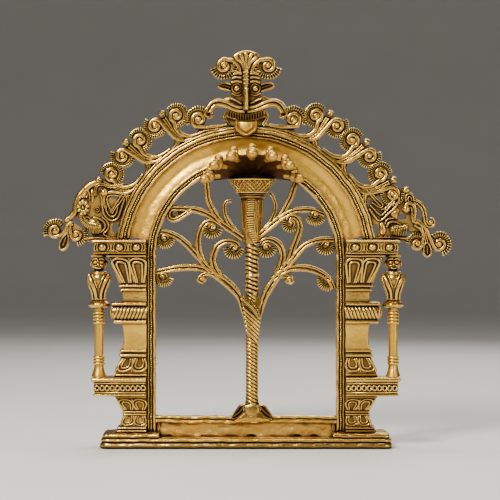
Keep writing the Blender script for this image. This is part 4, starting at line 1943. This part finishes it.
@dataclass
class Serpent:
    """The coils, the neck, the latticed collar and the hood with its heads.

    The belly's line has pairs of a step aside and a share of the neck's height, from the top down. The hood
    is a dish that leans forward by an angle in degrees.
    """

    at: Layout
    pitch: float = 2.95
    neck_foot: float = 5.3
    neck_top: float = 7.6
    flat: float = 0.92
    belly: Outline = ((-0.6, 1), (-0.8, 0.72), (-1.2, 0.46), (-0.2, 0.26), (2.2, 0.1), (4.2, -0.02))
    lattice: int = 26
    lean: float = 42.0
    reach: float = 27.0
    dip: float = 5.0
    heads: int = 7

    def coils(self) -> Wax:
        """One body wound round the trunk, with a plain ring where it passes itself."""
        at, wax, r = self.at, Wax(), half_width("serpent_coils") - 1.25
        zs = np.linspace(at.coil_z + 1.6, at.neck_z - 1, 288)
        a = -2 * math.pi * (zs - at.coil_z) / self.pitch
        body = np.column_stack([at.trunk_x + r * np.sin(a), -r * np.cos(a), zs - 1.1 * np.sin(a)])
        wax.tube(body, along(body, (0, 0.06, 0.9, 1), (0.5, 1.2, 1.25, 1.5)), sides=8)
        ring = ((0.5, 12.4), (1.35, 12.8), (1.45, 14.6), (0.5, 15.2))
        wax.lathe([(r + out, at.coil_z + z) for out, z in ring], at.trunk_x, 0, 28)
        return wax

    def girth(self, t: float) -> float:
        """Radius of the neck at a share of its height."""
        return self.neck_foot + (self.neck_top - self.neck_foot) * max(t, 0) ** 0.85

    def on_neck(self, x: float, z: float, lift: float) -> Point:
        """A point over the front of the neck, by a step aside and a height over the neck's foot."""
        at, r = self.at, self.girth(z / (self.at.ring_z - self.at.neck_z)) + lift
        return at.trunk_x + x, -self.flat * math.sqrt(max(r * r - x * x, 0.3)), at.neck_z + z

    def neck(self) -> Wax:
        """The swelling neck with its plated belly that turns aside at the bottom."""
        at, wax, h = self.at, Wax(), self.at.ring_z - self.at.neck_z
        rows = [(self.neck_foot - 0.4, at.neck_z - 0.4)]
        rows += [(self.girth(t), at.neck_z + h * t) for t in np.linspace(0, 1, 16)]
        wax.lathe(rows, at.trunk_x, 0, 36, self.flat, lambda a, t: 1 + 0.012 * np.cos(16 * a), 0.7)
        course = smooth([(x, h * t) for x, t in self.belly], 0.5)
        across = np.linspace(-1, 1, 7)
        for t in np.linspace(0.02, 0.97, 21):
            x, z = course[int(t * (len(course) - 1))]
            wide = 2.3 - 0.7 * t
            plate = [self.on_neck(x + u * wide, z - 0.25 * u * u + 0.35 * u * t, 0.35) for u in across]
            wax.tube(plate, 0.62, sides=6)
        for s in BOTH:
            inset = 2.9 - 0.9 * np.arange(len(course)) / len(course)
            edge = [self.on_neck(x + s * w, z, 0.2) for (x, z), w in zip(course, inset)]
            wax.tube(edge, 0.5, sides=6)
        for a in (-2.4, -1.8, -1.2, -0.6, 0.6, 1.2, 1.8, 2.4):
            scale = []
            for t in np.linspace(0.03, 0.98, 14):
                r = self.girth(t) + 0.1
                scale.append((at.trunk_x + r * math.sin(a), -self.flat * r * math.cos(a), at.neck_z + h * t))
            wax.tube(scale, 0.38, sides=6)
        return wax

    def collar(self) -> Wax:
        """Two rings and a flaring collar with a raised lattice."""
        at, wax, deep = self.at, Wax(), 0.86
        foot, top = at.ring_z + 3.4, at.hood_z
        r0, r1 = 10.4, half_width("hood_collar") - 0.5
        y0 = 0.4 * (at.back - 0.2 - deep * r1)
        rows, bend = [(7.4, at.ring_z)], np.linspace(0, math.pi, 6)
        for z, r in ((at.ring_z + 0.1, 7.8), (at.ring_z + 1.75, 8.2)):
            rows += [(r + 0.9 * math.sin(a), z + 0.8 * (1 - math.cos(a))) for a in bend]
        rows += [(9.4, foot), (r0, foot + 0.5), ((r0 + r1) / 2 - 0.4, (foot + top) / 2), (r1 - 0.6, top - 1),
                 (r1, top - 0.5), (r1 - 0.6, top)]
        wax.lathe(rows, at.trunk_x, y0, 48, deep, ground=0.9)
        t = np.linspace(0, 1, 8)
        r = r0 + (r1 - 0.6 - r0) * t - 0.35 * np.sin(math.pi * t) + 0.2
        zs = foot + 0.5 + (top - 1.5 - foot) * t
        for s in BOTH:
            for start in around(self.lattice):
                a = start + s * t * 0.62
                bar = np.column_stack([at.trunk_x + r * np.sin(a), y0 - deep * r * np.cos(a), zs])
                wax.tube(bar, 0.36, sides=5)
        for z, rim in ((foot + 0.4, r0 + 0.1), (top - 0.7, r1 + 0.1)):
            wax.tube(hoop((at.trunk_x, y0, z), (0, -deep * rim, 0), (rim, 0, 0), 60), 0.55, sides=6)
        return wax

    def on_hood(self, angle: float, r: float, lift: float) -> Point:
        """A point of the leaning hood.

        Args:
            angle: Degrees to the right of its middle line.
            r: Distance from the dish's middle.
            lift: Height over the dish.

        Returns:
            The point in the frame's axes.
        """
        at, tilt, a = self.at, math.radians(self.lean), math.radians(angle)
        cos, sin = math.cos(tilt), math.sin(tilt)
        x, y, z = r * math.sin(a), -r * math.cos(a), lift - self.dip * (r / self.reach) ** 2
        return at.trunk_x + x, y * cos + z * sin - at.rim_front - 0.6, at.hood_z - y * sin + z * cos

    def hood(self) -> Wax:
        """The dish of the hood, ribbed by the necks of the heads."""
        at, wax, rings = self.at, Wax(), []
        for a in np.linspace(-85, 85, 57):
            wave = math.cos(math.radians(a * 360 / 25))
            radii = np.linspace(0.5, self.reach + 0.6 * wave, 9)
            under = [self.on_hood(a, r, 0.2 - 0.5 * wave * (r / self.reach)) for r in radii]
            over = [self.on_hood(a, r, 2.2 + 0.9 * wave * (r / self.reach)) for r in radii[::-1]]
            rings.append(under + over)
        wax.rings(np.array(rings))
        cap = ((13, 0), (12.6, 1.2), (9.6, 4.2), (5.4, 6.4), (1.5, 7.2))
        wax.lathe([(r, at.hood_z + z) for r, z in cap], at.trunk_x, -2.6, 32, 0.56)
        return wax

    def on_head(self, angle: float, side: float, out: float, lift: float) -> Point:
        """A point of the head at an angle, by steps aside, outwards and over the dish."""
        return self.on_hood(angle + math.degrees(side / self.reach), self.reach + out, lift)

    def snouts(self) -> Wax:
        """The row of small heads, each with a crest, a snout, eyes and a mouth line."""
        wax = Wax()
        lumps = ((2.4, 0.8, (4.1, 3.5, 3.9)), (5.2, -1.2, (3.5, 3, 3)), (1.4, 6, (3.2, 2.9, 3)))
        for a in np.linspace(-75, 75, self.heads):
            neck = [self.on_head(a, 0, out, 1.2) for out in np.linspace(-5, 2, 6)]
            wax.tube(neck, np.linspace(2.2, 2.7, 6), sides=10)
            for out, lift, size in lumps:
                wax.bead(*self.on_head(a, 0, out, lift), size, 14, 10)
            for s in BOTH:
                wax.bead(*self.on_head(a, s * 2.9, 4.2, 1.9), 1.1)
                lip = [self.on_head(a, s * u, 6.6 - 0.3 * u * u, -0.9) for u in np.linspace(0.1, 2.2, 6)]
                wax.tube(lip, 0.42, sides=5)
            brow = [self.on_head(a, u, 3.4, 3.0 - 0.12 * u * u) for u in np.linspace(-2.6, 2.6, 8)]
            wax.tube(brow, 0.5, sides=6)
        return wax

    def casts(self) -> list[Cast]:
        """The serpent's pieces."""
        return [Cast("serpent_coil_body", "serpent_coils", self.coils()),
                Cast("serpent_neck_cast", "serpent_neck", self.neck(), wobble=0.1),
                Cast("latticed_collar", "hood_collar", self.collar(), wobble=0.1),
                Cast("hood_dish", "serpent_hood", self.hood(), SHADED),
                Cast("snake_heads", "serpent_heads", self.snouts(), DULLED)]


# Studio


@dataclass(frozen=True)
class Lamp:
    """A soft rectangular studio light, with its place, its aim and its size in metres."""

    name: str
    place: Point
    aim: Point
    size: Pair
    power: float
    colour: Colour = (1.0, 0.97, 0.92)

    def light(self) -> None:
        """Makes the light and turns it to its aim."""
        data = bpy.data.lights.new(self.name, "AREA")
        data.shape = "RECTANGLE"
        data.size, data.size_y = self.size
        data.energy = self.power
        data.color = self.colour
        obj = bpy.data.objects.new(self.name, data)
        obj.location = self.place
        obj.rotation_mode = "QUATERNION"
        obj.rotation_quaternion = (Vector(self.aim) - Vector(self.place)).to_track_quat("-Z", "Y")
        bpy.context.scene.collection.objects.link(obj)


@dataclass(frozen=True)
class Studio:
    """Floor, lights, surroundings and the photograph's camera, with its eye in metres."""

    eye: Point = (0.00267, -1.15, 0.131)
    lens: float = 124.2
    paper: Colour = (0.78, 0.77, 0.75)
    lamps: tuple[Lamp, ...] = (
        Lamp("key", (-0.5, -0.95, 0.9), (0.0, 0.0, 0.14), (0.34, 0.34), 25.0, (1.0, 0.95, 0.86)),
        Lamp("fill", (0.85, -0.8, 0.4), (0.0, 0.0, 0.12), (0.3, 0.6), 4.0, (1.0, 0.94, 0.85)),
        Lamp("top", (0.05, 0.1, 1.1), (0.0, 0.0, 0.15), (0.7, 0.4), 8.0),
        Lamp("rear", (0.3, 1.0, 0.7), (0.0, 0.0, 0.13), (0.7, 0.5), 5.0))

    def floor(self) -> None:
        """A pale paper floor that sweeps up far round the object."""
        wax, flat, sweep, sides = Wax(), 2400.0, 2200.0, 72
        bend = np.radians(np.arange(8, 90, 8))
        profile = [(r, 0.0) for r in np.linspace(60, flat, 6)]
        profile += [(flat + sweep * math.sin(a), sweep * (1 - math.cos(a))) for a in bend]
        rows = [(r * math.cos(a), r * math.sin(a), z) for r, z in profile for a in around(sides)]
        faces: list[tuple[int, ...]] = [tuple(range(sides))]
        for a in range(0, (len(profile) - 1) * sides, sides):
            b = a + sides
            faces += [(a + j, a + (j + 1) % sides, b + (j + 1) % sides, b + j) for j in range(sides)]
        wax.add(np.array(rows), faces)
        obj = wax.cast("floor", 0.0)
        made = bpy.data.materials.new("paper")
        g = Graph(made)
        mottle = g.noise(g.node("ShaderNodeTexCoord", {}, {}, output="Object"), 6.0, 3.0)
        colour = mottle.mix(self.paper, tuple(c * 0.94 for c in self.paper))
        sheen = g.node("ShaderNodeBsdfPrincipled", {}, {"Base Color": colour, "Roughness": 0.85})
        g.node("ShaderNodeOutputMaterial", {}, {"Surface": sheen})
        obj.data.materials.append(made)

    def surroundings(self) -> None:
        """Even, soft light from all round."""
        world = bpy.data.worlds.new("soft_room")
        world.use_nodes = True
        back = world.node_tree.nodes["Background"]
        back.inputs["Color"].default_value = (0.95, 0.92, 0.88, 1.0)
        back.inputs["Strength"].default_value = 0.09
        bpy.context.scene.world = world

    def camera(self) -> None:
        """A long lens level with the middle of the object, as in the photograph."""
        data = bpy.data.cameras.new("photo_camera")
        data.lens = self.lens
        data.sensor_width = 36.0
        data.clip_start, data.clip_end = 0.05, 50.0
        obj = bpy.data.objects.new("photo_camera", data)
        obj.location = self.eye
        obj.rotation_euler = (math.radians(90), 0.0, 0.0)
        bpy.context.scene.collection.objects.link(obj)
        bpy.context.scene.camera = obj

    def build(self) -> None:
        """Sets up the whole studio."""
        self.floor()
        self.surroundings()
        self.camera()
        for lamp in self.lamps:
            lamp.light()


@dataclass
class Prabhavali:
    """The whole object: its sub-assemblies, cast and placed on the frame."""

    at: Layout
    materials: dict[str, bpy.types.Material] = field(default_factory=dict)

    def casts(self) -> list[Cast]:
        """Every piece of every sub-assembly."""
        at = self.at
        made = Base(at).casts() + Arch(at).casts() + Crest(at).casts() + Kirtimukha(at).casts()
        for side in Side:
            made += Pillar(at, side).casts() + Makara(at, side).casts()
        return made + Tree(at).casts() + Serpent(at).casts()

    def place(self, cast: Cast) -> bpy.types.Object:
        """Casts a piece, finishes it and sets it on the frame.

        Args:
            cast: The piece.

        Returns:
            Its Blender object.
        """
        obj = cast.wax.cast(cast.name, cast.wobble)
        finish = cast.finish
        if finish.name not in self.materials:
            self.materials[finish.name] = finish.material()
        obj.data.materials.append(self.materials[finish.name])
        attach(obj, ROOT)
        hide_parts(cast.node)
        return obj

    def build(self) -> int:
        """Casts everything.

        Returns:
            The number of faces in all.
        """
        total = 0
        for cast in self.casts():
            faces = len(self.place(cast).data.polygons)
            LOG.info("%s for %s: %d faces", cast.name, cast.node, faces)
            total += faces
        return total


def main() -> None:
    """Loads the frame, builds the object and the studio and notes the sizes."""
    logging.basicConfig(level=logging.INFO)
    for obj in list(bpy.data.objects):
        bpy.data.objects.remove(obj)
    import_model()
    faces = Prabhavali(Layout.from_frame()).build()
    LOG.info("faces in all: %d", faces)
    Studio().build()
    bpy.context.view_layer.update()


if __name__ == "__main__":
    main()
